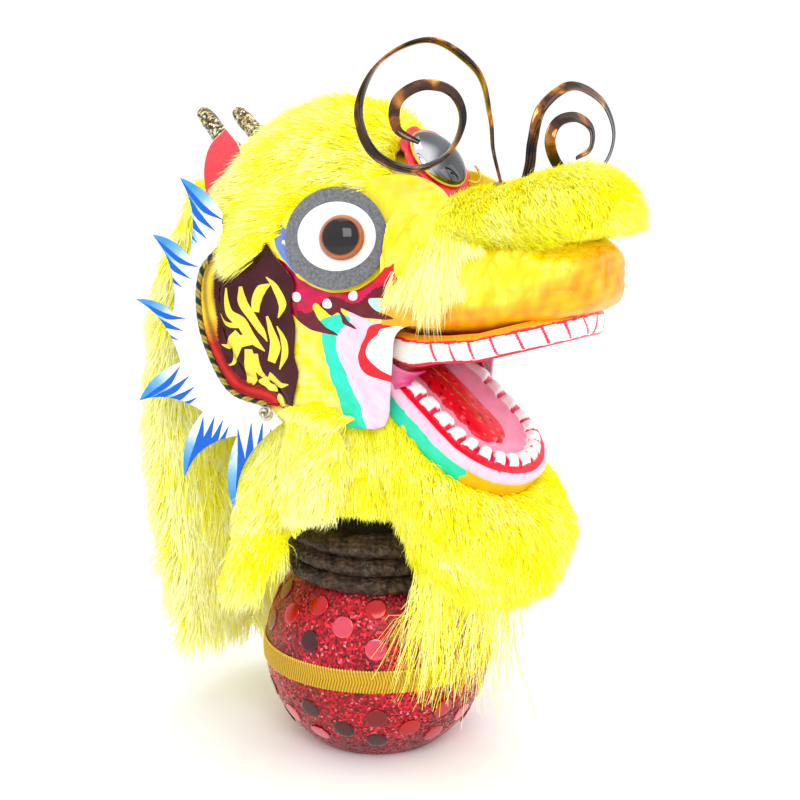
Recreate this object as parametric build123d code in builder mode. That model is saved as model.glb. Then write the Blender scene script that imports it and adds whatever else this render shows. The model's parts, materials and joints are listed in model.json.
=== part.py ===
"""A festival dragon's head on a sequin ball: a papier-mache head covered in artificial fur.

The head turns on a wooden spigot, the jaw opens, and the two foil antennae sway. Millimetres. The origin
is the centre of the flat base, +Z is up and the dragon looks along -Y, so its left side is +X. What comes
in pairs is made on the left and mirrored to the right.
"""

import os
from math import cos, radians, sin

from build123d import *

# --- driving dimensions -----------------------------------------------------------------------------------
# ball
BALL_RADIUS = 53.0
BALL_CENTRE = 44.0
BALL_RIM = 80.5
COVER_THICKNESS = 1.5
CORE_WALL = 3.0
BRAID_LOW = 40.5
BRAID_HEIGHT = 9.5

# neck
POST_RADIUS = 8.0
SOCKET_RADIUS = 4.1
SOCKET_DEPTH = 60.0
POST_TOP = 128.0
SPIGOT_RADIUS = 6.0
SPIGOT_TOP = 157.0
SOCKET_OUTSIDE = 11.0
SOCKET_END = 150.0
PIN_HEIGHT = 153.5
RUNNING_FIT = 0.05
SLEEVE_TOP = 120.0
WRAP_TOP = 106.0
TURN_GAP = 1.5

# head
SKULL_Y, SKULL_Z = 12.0, 226.0
SKULL_HALF_LENGTH, SKULL_RADIUS = 60.0, 48.0
SHELL_WALL = 2.5
CARD = 1.2

# snout: y, half width, underside, top
SNOUT_STATIONS = [
    (-30, 38, 197, 262),
    (-60, 33, 197.5, 254),
    (-88, 33, 203, 248),
    (-106, 29, 208, 244),
    (-115, 22, 212, 240),
    (-120, 13, 217, 235),
]

# jaw
HINGE_Y, HINGE_Z = -24.0, 184.0
JAW_PITCH = 36.0
JAW_HALF_WIDTH = 31.0
JAW_STRAIGHT = 46.0
JAW_FRONT = 76.5
JAW_DEPTH = 12.0
JAW_PIN_RADIUS = 1.5

# eyes, cheeks and fins
EYE_CENTRE = (43.0, -15.0, 238.0)
EYE_TURN, EYE_LIFT = 58.0, 15.0
RING_RADIUS = 21.5
CHEEK_CENTRE = (50.0, 20.0, 195.0)
CHEEK_FLARE = 28.0

# antennae
SWAY_GAP = 0.4
RIBBON_WIDTH = 4.6
RIBBON_THICKNESS = 0.8

os.makedirs("parts", exist_ok=True)


# --- helpers ----------------------------------------------------------------------------------------------
def save(piece, name):
    """Label a finished piece and write it as its own STEP file."""
    piece.part.label = name
    export_step(piece.part, f"parts/{name}.step")


def mirrored(shape):
    """The same shape on the dragon's right side."""
    return mirror(shape, about=Plane.YZ, mode=Mode.PRIVATE)


def save_pair(piece, name):
    """Write a left piece and its mirror image on the right."""
    save(piece, f"{name}_left")
    with BuildPart() as twin:
        add(mirrored(piece.part))
    save(twin, f"{name}_right")


def cut(*shapes):
    """Take construction shapes away from the piece that is being built."""
    for shape in shapes:
        add(shape, mode=Mode.SUBTRACT)


def both(shape):
    """A left shape with its right one."""
    return shape, mirrored(shape)


def spheroid(centre_y, centre_z, half_length, radius):
    """A solid egg shape, round about a level line from front to back."""
    with BuildPart() as egg:
        with BuildSketch(Plane((0, centre_y, centre_z), x_dir=(0, 1, 0), z_dir=(1, 0, 0))):
            with BuildLine():
                EllipticalCenterArc((0, 0), half_length, radius, arc_size=180)
                Line((-half_length, 0), (half_length, 0))
            make_face()
        revolve(axis=Axis((0, centre_y, centre_z), (0, 1, 0)))
    return egg.part


def ellipsoid(centre, half_size):
    """A solid ball stretched to three half sizes."""
    with BuildPart() as ball:
        Sphere(1)
    return Pos(*centre) * scale(ball.part, by=half_size, mode=Mode.PRIVATE)


def ring(inner, outer, low, high):
    """A plain ring about the turning axis, or a disc when inner is 0."""
    with BuildPart() as hoop:
        with BuildSketch(Plane.XY.offset(low)):
            Circle(outer)
            if inner:
                Circle(inner, mode=Mode.SUBTRACT)
        extrude(amount=high - low)
    return hoop


def ball_shell(inner, outer, low, high):
    """A slice of a hollow ball between two heights."""
    with BuildPart() as shell:
        with Locations((0, 0, BALL_CENTRE)):
            Sphere(outer)
            Sphere(inner, mode=Mode.SUBTRACT)
        add(ring(0, outer + 1, low, high).part, mode=Mode.INTERSECT)
    return shell


def rod(plane, radius, length):
    """A round rod along a plane's normal."""
    with BuildPart() as bar:
        with BuildSketch(plane):
            Circle(radius)
        extrude(amount=length)
    return bar.part


# --- planes -----------------------------------------------------------------------------------------------
eye_normal = Vector(
    sin(radians(EYE_TURN)) * cos(radians(EYE_LIFT)),
    -cos(radians(EYE_TURN)) * cos(radians(EYE_LIFT)),
    sin(radians(EYE_LIFT)),
)
eye_plane = Plane(EYE_CENTRE, x_dir=(cos(radians(EYE_TURN)), sin(radians(EYE_TURN)), 0), z_dir=eye_normal)
cheek_along = Vector(sin(radians(CHEEK_FLARE)), cos(radians(CHEEK_FLARE)), 0)
cheek_normal = Vector(cos(radians(CHEEK_FLARE)), -sin(radians(CHEEK_FLARE)), 0)
cheek_plane = Plane(CHEEK_CENTRE, x_dir=cheek_along, z_dir=cheek_normal)
jaw_normal = Vector(0, -sin(radians(JAW_PITCH)), cos(radians(JAW_PITCH)))
jaw_plane = Plane((0, HINGE_Y, HINGE_Z), x_dir=(1, 0, 0), z_dir=jaw_normal)

# --- construction shapes ----------------------------------------------------------------------------------
skull = spheroid(SKULL_Y, SKULL_Z, SKULL_HALF_LENGTH, SKULL_RADIUS)
skull_hollow = spheroid(SKULL_Y, SKULL_Z, SKULL_HALF_LENGTH - SHELL_WALL, SKULL_RADIUS - SHELL_WALL)


def snout_body(shrink, drop):
    """The snout's rounded box, made smaller all round by shrink, its underside lowered by drop."""
    with BuildPart() as body:
        for y, half_width, low, high in SNOUT_STATIONS:
            floor = low - drop
            roof = high - shrink
            middle = (floor + roof) / 2
            wide = half_width - shrink
            corner = 0.62 * min(wide, (high - low) / 2 - shrink)
            with BuildSketch(Plane((0, y, middle), x_dir=(1, 0, 0), z_dir=(0, -1, 0))):
                RectangleRounded(2 * wide, roof - floor, corner)
        loft(ruled=True)
    return body.part


def mouth_line(rise):
    """The underside of the snout seen from the side, raised by rise: y and z from back to front."""
    return [(y, low + rise) for y, half_width, low, high in SNOUT_STATIONS[:5]]


def mouth_band(low, high):
    """A slab across the whole head that follows the underside of the snout between two heights."""
    with BuildPart() as band:
        with BuildSketch(Plane.YZ.offset(-60)):
            with BuildLine():
                Polyline(*mouth_line(low), *reversed(mouth_line(high)), close=True)
            make_face()
        extrude(amount=120)
    return band.part


snout = snout_body(0, 0)
snout_hollow = snout_body(SHELL_WALL, 12)

# everything that stays still while the head turns, with room round it
with BuildPart() as turning_room:
    with Locations((0, 0, BALL_CENTRE)):
        Sphere(BALL_RADIUS + TURN_GAP + 0.6)
    with Locations((0, 0, BALL_RIM - 4)):
        Cylinder(46.0, WRAP_TOP + 4 - (BALL_RIM - 4), align=(Align.CENTER, Align.CENTER, Align.MIN))

# the paper neck, leaning back from the post to the skull
NECK_FOOT = (0, 4.0, SLEEVE_TOP + TURN_GAP)
NECK_HEAD = (0, 19.0, 190.0)
NECK_FOOT_RADIUS, NECK_HEAD_RADIUS = 24.0, 26.0


def neck_body(shrink):
    """The neck's leaning tube as a solid."""
    with BuildPart() as body:
        with BuildSketch(Plane(NECK_FOOT)):
            Circle(NECK_FOOT_RADIUS - shrink)
        with BuildSketch(Plane(NECK_HEAD)):
            Circle(NECK_HEAD_RADIUS - shrink)
        loft()
    return body.part


neck = neck_body(0)

# --- base and ball ----------------------------------------------------------------------------------------
with BuildPart() as base_disc:
    with BuildSketch(Plane.XZ):
        Polygon((POST_RADIUS, 0), (26.5, 0), (32.5, 5), (POST_RADIUS, 5), align=None)
    revolve(axis=Axis.Z)
save(base_disc, "base_disc")

with BuildPart() as neck_post:
    with BuildSketch():
        Circle(POST_RADIUS)
    extrude(amount=POST_TOP)
    with BuildSketch(Plane.XY.offset(POST_TOP)):
        Circle(SPIGOT_RADIUS)
    extrude(amount=SPIGOT_TOP - POST_TOP)
    chamfer(neck_post.edges().group_by(Axis.Z)[-1], length=0.8)
    with BuildSketch():
        Circle(SOCKET_RADIUS)
    extrude(amount=SOCKET_DEPTH, mode=Mode.SUBTRACT)
    with BuildSketch(Plane.YZ.offset(-POST_RADIUS)):
        with Locations((0, PIN_HEIGHT)):
            Circle(1.0)
    extrude(amount=2 * POST_RADIUS, mode=Mode.SUBTRACT)
save(neck_post, "neck_post")

WEIGHT_TOP = 22.0
with BuildPart() as base_weight:
    with BuildSketch(Plane.XY.offset(5)):
        Circle(28.0)
        Circle(POST_RADIUS, mode=Mode.SUBTRACT)
    extrude(amount=WEIGHT_TOP - 5)
save(base_weight, "base_weight")

core_outer = BALL_RADIUS - COVER_THICKNESS - 0.1
save(ball_shell(core_outer - CORE_WALL, core_outer, 5, BALL_RIM - 3), "ball_core")
save(ball_shell(BALL_RADIUS - COVER_THICKNESS, BALL_RADIUS, 0, BALL_RIM), "sequin_cover")

with BuildPart() as top_disc:
    with BuildSketch(Plane.XZ):
        Polygon(
            (POST_RADIUS, BALL_RIM - 3), (38.5, BALL_RIM - 3), (36, BALL_RIM), (POST_RADIUS, BALL_RIM),
            align=None,
        )
    revolve(axis=Axis.Z)
save(top_disc, "top_disc")

save(ring(BALL_RADIUS + 0.02, BALL_RADIUS + 1.4, BRAID_LOW, BRAID_LOW + BRAID_HEIGHT), "braid_band")

with BuildPart() as rim_piping:
    with BuildSketch(Plane.XZ):
        with Locations((37.4, BALL_RIM + 1.0)):
            Circle(1.0)
    revolve(axis=Axis.Z)
save(rim_piping, "rim_piping")

# --- neck wrap, sleeve and swivel -------------------------------------------------------------------------
with BuildPart() as neck_wrap:
    with BuildSketch(Plane.XZ):
        with BuildLine():
            Polyline((40.4, WRAP_TOP), (24, WRAP_TOP), (24, BALL_RIM), (36, BALL_RIM), (36, 84.5))
            ThreePointArc((36, 84.5), (43.6, 87.5), (41.2, 91.5))
            ThreePointArc((41.2, 91.5), (43.6, 95), (40.6, 98.6))
            ThreePointArc((40.6, 98.6), (42.8, 102.4), (40.4, WRAP_TOP))
        make_face()
    revolve(axis=Axis.Z)
save(neck_wrap, "neck_wrap")

save(ring(20, 23.5, BALL_RIM, SLEEVE_TOP), "neck_sleeve")
save(ring(SPIGOT_RADIUS + 0.1, SOCKET_OUTSIDE, POST_TOP, POST_TOP + 1.5), "swivel_washer_lower")
save(ring(SPIGOT_RADIUS + 0.1, 10, SOCKET_END, SOCKET_END + 1.5), "swivel_washer_upper")

with BuildPart() as retaining_pin:
    with BuildSketch(Plane.YZ.offset(-POST_RADIUS - 1)):
        with Locations((0, PIN_HEIGHT)):
            Circle(1.0)
    extrude(amount=2 * POST_RADIUS + 2)
save(retaining_pin, "retaining_pin")

save(ring(SPIGOT_RADIUS + RUNNING_FIT, SOCKET_OUTSIDE, POST_TOP + 1.5, SOCKET_END), "neck_socket")

with BuildPart() as neck_web:
    with BuildSketch(Plane.XY.offset(137)):
        Circle(40)
        Circle(SOCKET_OUTSIDE, mode=Mode.SUBTRACT)
    extrude(amount=4)
    add(neck_body(SHELL_WALL), mode=Mode.INTERSECT)
save(neck_web, "neck_web")

with BuildPart() as neck_cone:
    add(neck)
    cut(neck_body(SHELL_WALL), skull)
save(neck_cone, "neck_cone")

# --- head shell and snout ---------------------------------------------------------------------------------
eye_boss = rod(eye_plane.offset(-14), 15.0, 14.0 - 1.2)
eye_shank_room = rod(eye_plane.offset(-20), 2.6, 30.0)
# a hole into the snout and one at the back of the head, both hidden by what covers them
shell_holes = rod(Plane((0, -80, SKULL_Z), z_dir=(0, 1, 0)), 9.0, 180.0)

with BuildPart() as head_shell:
    add(skull)
    for boss in both(eye_boss):
        add(boss)
    cut(skull_hollow, *both(eye_shank_room), shell_holes)
save(head_shell, "head_shell")

with BuildPart() as skull_and_bosses:
    add(skull)
    for boss in both(eye_boss):
        add(boss)

with BuildPart() as snout_shell:
    add(snout)
    cut(snout_hollow, skull_and_bosses.part, *both(rod(eye_plane.offset(-1.2), RING_RADIUS + 0.3, 10.0)))
save(snout_shell, "snout_shell")


def arch(half_width, rear, straight, front):
    """An outline with straight sides from rear to straight, closed by a round front, towards -Y."""
    with BuildSketch() as outline:
        with BuildLine():
            Polyline((half_width, straight), (half_width, rear), (-half_width, rear), (-half_width, straight))
            ThreePointArc((-half_width, straight), (0, front), (half_width, straight))
        make_face()
    return outline.sketch


TEETH_WIDTH = 5.0

with BuildPart() as upper_teeth:
    with BuildSketch(Plane.XY.offset(150)):
        add(arch(31.5, -34, -82, -112))
        add(arch(31.5 - TEETH_WIDTH, -33, -82, -112 + TEETH_WIDTH), mode=Mode.SUBTRACT)
    extrude(amount=90)
    add(mouth_band(-8.5, 0), mode=Mode.INTERSECT)
    cut(snout, skull)
save(upper_teeth, "upper_teeth")

with BuildPart() as palate:
    with BuildSketch(Plane.XY.offset(150)):
        add(arch(29.5, -36, -82, -108))
    extrude(amount=90)
    add(mouth_band(0, 2), mode=Mode.INTERSECT)
    cut(skull)
save(palate, "palate")

# --- jaw --------------------------------------------------------------------------------------------------
JAW_EAR = 5.0
ear_inner, ear_outer = JAW_HALF_WIDTH - SHELL_WALL, JAW_HALF_WIDTH
bracket_inner, bracket_outer = JAW_HALF_WIDTH + 0.5, JAW_HALF_WIDTH + 3.0


def side_plane(x):
    """A plane facing the dragon's left, its origin on the jaw's hinge line."""
    return Plane((x, HINGE_Y, HINGE_Z), x_dir=(0, 1, 0), z_dir=(1, 0, 0))


ear = rod(side_plane(ear_inner), JAW_EAR, SHELL_WALL)
pin_room = rod(side_plane(ear_inner - 5), JAW_PIN_RADIUS + RUNNING_FIT, 6 + SHELL_WALL)
pin = rod(side_plane(ear_inner - 1.5), JAW_PIN_RADIUS, bracket_outer - ear_inner + 1.5)

with BuildPart() as jaw_form:
    with BuildSketch(jaw_plane):
        add(arch(JAW_HALF_WIDTH, 0, -JAW_STRAIGHT, -JAW_FRONT))
    extrude(amount=-JAW_DEPTH)
    fillet(jaw_form.faces().sort_by(Axis(jaw_plane.origin, jaw_normal))[0].edges(), radius=5)

with BuildPart() as jaw_shell:
    add(jaw_form.part)
    with BuildSketch(jaw_plane):
        add(arch(JAW_HALF_WIDTH - SHELL_WALL, -SHELL_WALL, -JAW_STRAIGHT, -JAW_FRONT + SHELL_WALL))
    extrude(amount=SHELL_WALL - JAW_DEPTH, mode=Mode.SUBTRACT)
    for side_ear in both(ear):
        add(side_ear)
    cut(*both(pin_room))
save(jaw_shell, "jaw_shell")

with BuildPart() as jaw_pins:
    for side_pin in both(pin):
        add(side_pin)
save(jaw_pins, "jaw_pins")

with BuildPart() as jaw_bracket:
    with BuildSketch(side_plane(bracket_inner)):
        Polygon((-6, -6), (6, -6), (9, 34), (-9, 34), align=None)
    extrude(amount=bracket_outer - bracket_inner)
    cut(pin, snout, skull)
save_pair(jaw_bracket, "jaw_bracket")

GUM_THICKNESS = 2.0
gum_half_width = JAW_HALF_WIDTH - SHELL_WALL
gum_front = -JAW_FRONT + SHELL_WALL

with BuildPart() as lower_gum:
    with BuildSketch(jaw_plane):
        add(arch(gum_half_width, -8, -JAW_STRAIGHT, gum_front))
    extrude(amount=-GUM_THICKNESS)
save(lower_gum, "lower_gum")

with BuildPart() as lower_teeth:
    with BuildSketch(jaw_plane):
        add(arch(gum_half_width, -9, -JAW_STRAIGHT, gum_front))
        add(arch(gum_half_width - 7, -8, -JAW_STRAIGHT, gum_front + 7), mode=Mode.SUBTRACT)
    extrude(amount=5)
save(lower_teeth, "lower_teeth")

with BuildPart() as tongue:
    with BuildSketch(jaw_plane):
        add(arch(12, -8, -46, -60))
    extrude(amount=4.5)
    fillet(tongue.faces().sort_by(Axis(jaw_plane.origin, jaw_normal))[-1].edges(), radius=2)
save(tongue, "tongue")

# --- eyes -------------------------------------------------------------------------------------------------
FELT = 2.0

with BuildPart() as eye_ring:
    with BuildSketch(eye_plane.offset(-1.2)):
        Circle(RING_RADIUS)
        Circle(2.6, mode=Mode.SUBTRACT)
    extrude(amount=FELT)
    cut(skull)
save_pair(eye_ring, "eye_ring")

with BuildPart() as eye_white:
    with BuildSketch(eye_plane.offset(FELT - 1.2)):
        with Locations((1.5, 1.0)):
            Ellipse(14.5, 16.5)
        Circle(2.6, mode=Mode.SUBTRACT)
    extrude(amount=CARD)
save_pair(eye_white, "eye_white")

dome_foot = FELT - 1.2 + CARD
with BuildPart() as eye_dome:
    with BuildSketch(eye_plane.offset(dome_foot)):
        Circle(9.5)
    extrude(amount=2)
    with BuildSketch(eye_plane.offset(dome_foot + 2)):
        Circle(9.5)
    extrude(amount=4, taper=38)
    fillet(eye_dome.faces().sort_by(Axis(eye_plane.origin, eye_normal))[-1].edges(), radius=3)
    add(rod(eye_plane.offset(-18), 2.5, 18 + dome_foot))
save_pair(eye_dome, "eye_dome")

with BuildPart() as eye_washers:
    for plane_shape in both(rod(eye_plane.offset(-16), 6.0, 2.0)):
        add(plane_shape)
    cut(*both(rod(eye_plane.offset(-20), 2.5, 30)))
save(eye_washers, "eye_washers")

# --- cheek panels and fins --------------------------------------------------------------------------------
# the arc where panel and fin meet, in the cheek plane: across the flare, then up
cheek_arc = [(19.8, 37.0), (28.0, 27.0), (30.0, 12.0), (26.9, -5.5), (16.6, -25.0), (0.0, -31.0)]
fin_tips = [(39.4, 66.0), (51.7, 41.5), (60.3, 13.0), (61.0, -33.0), (42.0, -68.0), (18.9, -87.0)]
fin_valleys = [(34.5, 33.0), (42.2, 8.0), (39.4, -14.0), (29.8, -36.0), (14.0, -46.0)]


def fin_outline():
    """The jagged outer edge of the fin, from its first tip to its last."""
    points = []
    for tip, valley in zip(fin_tips, fin_valleys):
        points += [tip, valley]
    return points + [fin_tips[-1]]


with BuildPart() as cheek_foil:
    with BuildSketch(cheek_plane):
        with BuildLine():
            Spline(*cheek_arc)
            Polyline(cheek_arc[-1], (-8, -30), (-12, -6), (-8, 20), (8, 34), cheek_arc[0])
        make_face()
    extrude(amount=CARD)
    cut(skull)
save_pair(cheek_foil, "cheek_foil")

with BuildPart() as fin:
    with BuildSketch(cheek_plane):
        with BuildLine():
            Spline(*cheek_arc)
            Polyline(cheek_arc[-1], (-7.2, -39), *reversed(fin_outline()), (18.9, 51), cheek_arc[0])
        make_face()
    extrude(amount=CARD)
    cut(skull)
save_pair(fin, "fin")

with BuildPart() as cheek_piping:
    with BuildLine(cheek_plane.offset(CARD + 1.2)):
        piping_line = Spline(*cheek_arc)
    with BuildSketch(Plane(piping_line @ 0, z_dir=piping_line % 0)):
        Circle(1.2)
    sweep()
    cut(skull)
save_pair(cheek_piping, "cheek_piping")

bead_centre = cheek_plane.offset(CARD + 2.5).from_local_coords((0, -34.6, 0))
with BuildPart() as cheek_beads:
    with Locations(bead_centre):
        Sphere(2.4)
    mirror(about=Plane.YZ)
save(cheek_beads, "cheek_beads")

# --- horns, ears and mirror -------------------------------------------------------------------------------
horn_plane = Plane((13, 54, 251), x_dir=(1, 0, 0), z_dir=(-0.05, 0.74, 0.67))
with BuildPart() as horn:
    with BuildSketch(horn_plane):
        Circle(6.0)
    with BuildSketch(horn_plane.offset(54)):
        Circle(3.4)
    loft()
    fillet(horn.faces().sort_by(Axis(horn_plane.origin, horn_plane.z_dir))[-1].edges(), radius=2.5)
    cut(skull)
save_pair(horn, "horn")

ear_plane = Plane((37, 60, 262), x_dir=cheek_along, z_dir=cheek_normal)
with BuildPart() as felt_ear:
    with BuildSketch(ear_plane):
        with BuildLine():
            Spline((-3, 25), (7, 6), (3, -18))
            Spline((3, -18), (-9, -16), (-12, 2), (-3, 25))
        make_face()
    extrude(amount=FELT)
    cut(skull)
save_pair(felt_ear, "ear")

mirror_plane = Plane((0, -34, 269), x_dir=(1, 0, 0), z_dir=(0, -0.77, 0.64))
PATCH_RADIUS, MIRROR_RADIUS = 19.5, 14.5
with BuildPart() as mirror_patch:
    with BuildSketch(mirror_plane):
        Circle(PATCH_RADIUS)
    extrude(amount=FELT)
    cut(snout)
save(mirror_patch, "mirror_patch")

with BuildPart() as mirror_button:
    with BuildSketch(mirror_plane.offset(FELT)):
        Circle(MIRROR_RADIUS)
    extrude(amount=1.5)
    with BuildSketch(mirror_plane.offset(FELT + 1.5)):
        Circle(MIRROR_RADIUS - 0.5)
    extrude(amount=3.5, taper=60)
save(mirror_button, "mirror_button")

# --- antennae ---------------------------------------------------------------------------------------------
# a ribbon's line from its root: away from the root, then up
RIBBON_LINE = [
    (0, 0), (3.5, 14), (5, 28), (11, 48), (31, 61), (53, 52), (63, 32), (57, 13), (40, 5.5),
    (24, 12), (17, 27), (22, 39), (35, 42), (46, 35), (46, 23), (36, 17),
]
NEAR_SOCKET_TOP, FAR_SOCKET_TOP = 262.0, 258.0
near_root = Vector(-12, -76, NEAR_SOCKET_TOP + SWAY_GAP)
far_root = Vector(14, -70, FAR_SOCKET_TOP + SWAY_GAP)
near_plane = Plane(near_root, x_dir=(-0.574, 0.819, 0), z_dir=(0.819, 0.574, 0))
far_plane = Plane(far_root, x_dir=(0.974, -0.227, 0), z_dir=(-0.227, -0.974, 0))


def antenna(plane, width, height):
    """A curled foil ribbon standing on its edge-on plane, its curl scaled to a width and a height."""
    with BuildPart() as ribbon:
        with BuildSketch(plane.offset(-RIBBON_WIDTH / 2)):
            with BuildLine():
                Spline(*[(away * width, up * height) for away, up in RIBBON_LINE])
            trace(line_width=RIBBON_THICKNESS)
        extrude(amount=RIBBON_WIDTH)
    return ribbon


def antenna_socket(root, top):
    """The little grommet in the snout that an antenna grows from."""
    with BuildPart() as grommet:
        with BuildSketch(Plane((root.X, root.Y, 240))):
            Circle(2.6)
        extrude(amount=top - 240)
        cut(snout)
    return grommet


right_socket = antenna_socket(near_root, NEAR_SOCKET_TOP)
left_socket = antenna_socket(far_root, FAR_SOCKET_TOP)
save(antenna(near_plane, 0.9, 0.9), "antenna_right")
save(antenna(far_plane, 0.81, 0.68), "antenna_left")
save(right_socket, "antenna_socket_right")
save(left_socket, "antenna_socket_left")

# --- fur --------------------------------------------------------------------------------------------------
# room round the eyes, and the space in front of the cheek panels and fins
eye_room = rod(eye_plane.offset(-3), RING_RADIUS + 0.5, 40.0)
with BuildPart() as cheek_front:
    with BuildSketch(cheek_plane.offset(-1.0)):
        Rectangle(400, 600)
    extrude(amount=200)
with BuildPart() as forehead_room:
    with BuildSketch(mirror_plane):
        Circle(PATCH_RADIUS + 0.5)
    extrude(amount=40)

crown_form = spheroid(22, 230, 72, 62)
with BuildPart() as fur_crown:
    add(crown_form)
    with BuildSketch(Plane.YZ.offset(-90)):
        Polygon((-70, 252), (-14, 252), (0, 240), (62, 236), (120, 236), (120, 320), (-70, 320), align=None)
    extrude(amount=180, mode=Mode.INTERSECT)
    cut(skull_and_bosses.part, snout, forehead_room.part, *both(eye_room))
    cut(*both(horn.part), *both(felt_ear.part), *both(fin.part))
save(fur_crown, "fur_crown")

# snout fur: y, half width, underside, top
FUR_STATIONS = [
    (-46, 26, 240, 260),
    (-76, 34, 240, 262),
    (-95, 34, 240, 272),
    (-112, 33, 242, 275),
    (-127, 20, 248, 268),
]
with BuildPart() as fur_snout:
    for y, half_width, low, high in FUR_STATIONS:
        with BuildSketch(Plane((0, y, (low + high) / 2), x_dir=(1, 0, 0), z_dir=(0, -1, 0))):
            RectangleRounded(2 * half_width, high - low, 6)
    loft(ruled=True)
    cut(snout, skull_and_bosses.part, crown_form, forehead_room.part, right_socket.part, left_socket.part)
    cut(*[rod(Plane(root).offset(-2), 6.0, 22.0) for root in (near_root, far_root)], *both(eye_room))
save(fur_snout, "fur_snout")

with BuildPart() as muzzle_tuft:
    add(ellipsoid((37, -64, 212), (5, 12, 24)))
    cut(snout, upper_teeth.part, fur_snout.part, eye_room)
save_pair(muzzle_tuft, "muzzle_tuft")


def fur_column(stations):
    """A loft through level ellipses: height, x, y, half width, half depth."""
    with BuildPart() as column:
        for z, x, y, half_width, half_depth in stations:
            with BuildSketch(Plane((x, y, z))):
                Ellipse(half_width, half_depth)
        loft(ruled=True)
    return column.part


# left cheek fur, back mane and throat: height, x, y, half width, half depth
CHEEK_STATIONS = [
    (166, 46, -2, 6, 18),
    (150, 49, 2, 10, 28),
    (125, 52, 8, 12, 32),
    (104, 54, 22, 9, 18),
    (80, 56, 30, 5, 12),
]
MANE_STATIONS = [
    (256, 0, 72, 46, 18),
    (214, 0, 84, 58, 20),
    (150, 0, 90, 60, 20),
    (90, 0, 90, 54, 18),
    (34, 0, 93, 40, 12),
]
THROAT_STATIONS = [
    (166, 0, -8, 40, 30),
    (140, 0, -4, 46, 40),
    (113, 0, -2, 47, 44),
]

with BuildPart() as fur_cheek:
    add(fur_column(CHEEK_STATIONS))
    cut(turning_room.part, neck, skull, cheek_foil.part, fin.part, cheek_piping.part, cheek_beads.part)
save_pair(fur_cheek, "fur_cheek")

with BuildPart() as fur_mane:
    add(fur_column(MANE_STATIONS))
    cut(skull, neck, crown_form, turning_room.part, *both(cheek_front.part), *both(fur_cheek.part))
    cut(*both(horn.part), *both(felt_ear.part))
save(fur_mane, "fur_mane")

with BuildPart() as fur_chin:
    add(ellipsoid((0, -72, 114), (38, 41, 30)))
    cut(jaw_form.part, turning_room.part, lower_teeth.part)
save(fur_chin, "fur_chin")

with BuildPart() as beard:
    with BuildSketch(Plane.YZ.offset(-27)):
        Polygon((-74, 84), (-62, 84), (-60, 60), (-61, 34), (-65, 34), (-70, 62), align=None)
    extrude(amount=54)
    cut(turning_room.part, fur_chin.part)
save(beard, "beard")

# the throat's fur keeps clear of the sleeve, and of the jaw and chin as they move
with BuildPart() as jaw_room:
    with BuildSketch(jaw_plane.offset(-JAW_DEPTH - 2)):
        add(arch(JAW_HALF_WIDTH + 2, 8, -JAW_STRAIGHT, -JAW_FRONT))
    extrude(amount=JAW_DEPTH + 62)
chin_room = ellipsoid((0, -72, 114), (40, 43, 32))
sleeve_room = rod(Plane.XY.offset(WRAP_TOP), 27.0, SLEEVE_TOP + 4 - WRAP_TOP)

with BuildPart() as fur_throat:
    add(fur_column(THROAT_STATIONS))
    cut(turning_room.part, sleeve_room, neck, skull, snout, jaw_room.part, chin_room)
    cut(fur_mane.part, *both(fur_cheek.part))
save(fur_throat, "fur_throat")
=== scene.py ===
import json
import math

import bpy
import numpy as np
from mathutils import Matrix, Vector
from mathutils.geometry import delaunay_2d_cdt
from mathutils.kdtree import KDTree


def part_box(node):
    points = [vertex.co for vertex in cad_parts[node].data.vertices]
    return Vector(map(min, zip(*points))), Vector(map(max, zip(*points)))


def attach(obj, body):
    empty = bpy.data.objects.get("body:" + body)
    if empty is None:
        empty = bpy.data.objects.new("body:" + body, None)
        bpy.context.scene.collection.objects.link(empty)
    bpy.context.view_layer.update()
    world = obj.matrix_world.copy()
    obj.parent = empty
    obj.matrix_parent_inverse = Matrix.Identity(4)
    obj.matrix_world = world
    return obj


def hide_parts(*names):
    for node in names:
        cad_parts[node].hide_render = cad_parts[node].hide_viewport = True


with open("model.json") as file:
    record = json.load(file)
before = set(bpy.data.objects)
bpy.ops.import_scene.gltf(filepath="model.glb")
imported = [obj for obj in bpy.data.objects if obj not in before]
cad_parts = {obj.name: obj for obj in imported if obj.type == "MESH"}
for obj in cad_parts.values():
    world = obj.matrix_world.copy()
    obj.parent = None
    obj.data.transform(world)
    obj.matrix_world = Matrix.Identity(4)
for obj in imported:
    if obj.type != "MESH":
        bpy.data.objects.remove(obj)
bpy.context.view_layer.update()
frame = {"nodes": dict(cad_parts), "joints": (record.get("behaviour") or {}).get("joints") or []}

# Lengths are millimetres in the row frame until a mesh is made; MM turns them to metres.
MM = 0.001
rng = np.random.default_rng(11)

def box_of(node):
    """A node's box, its low and high corners in millimetres."""
    return (np.array(corner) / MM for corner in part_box(node))


# --- places taken from the frame ---
ball_low, ball_high = box_of("sequin_cover")
braid_low, braid_high = box_of("braid_band")
wrap_low, wrap_high = box_of("neck_wrap")
joints = {j["name"]: j for j in frame["joints"]}
HINGE = np.array(joints["jaw_hinge"]["pos_m"]) / MM
BALL_R = (ball_high[0] - ball_low[0]) / 2
BALL_Z = (braid_low[2] + braid_high[2]) / 2 - 1.25
JAW_PITCH = math.radians(36)
FLARE = math.radians(28)
CHEEK = np.array([50.0, 20.0, 195.0])
EYE_CENTRE = (43, -15, 238)
EYE_AIM = (0.819, -0.512, 0.259)
FOREHEAD_CENTRE = (0.0, -34.0, 269.0)
FOREHEAD_OUT = np.array([0.0, -0.77, 0.64])

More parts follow.
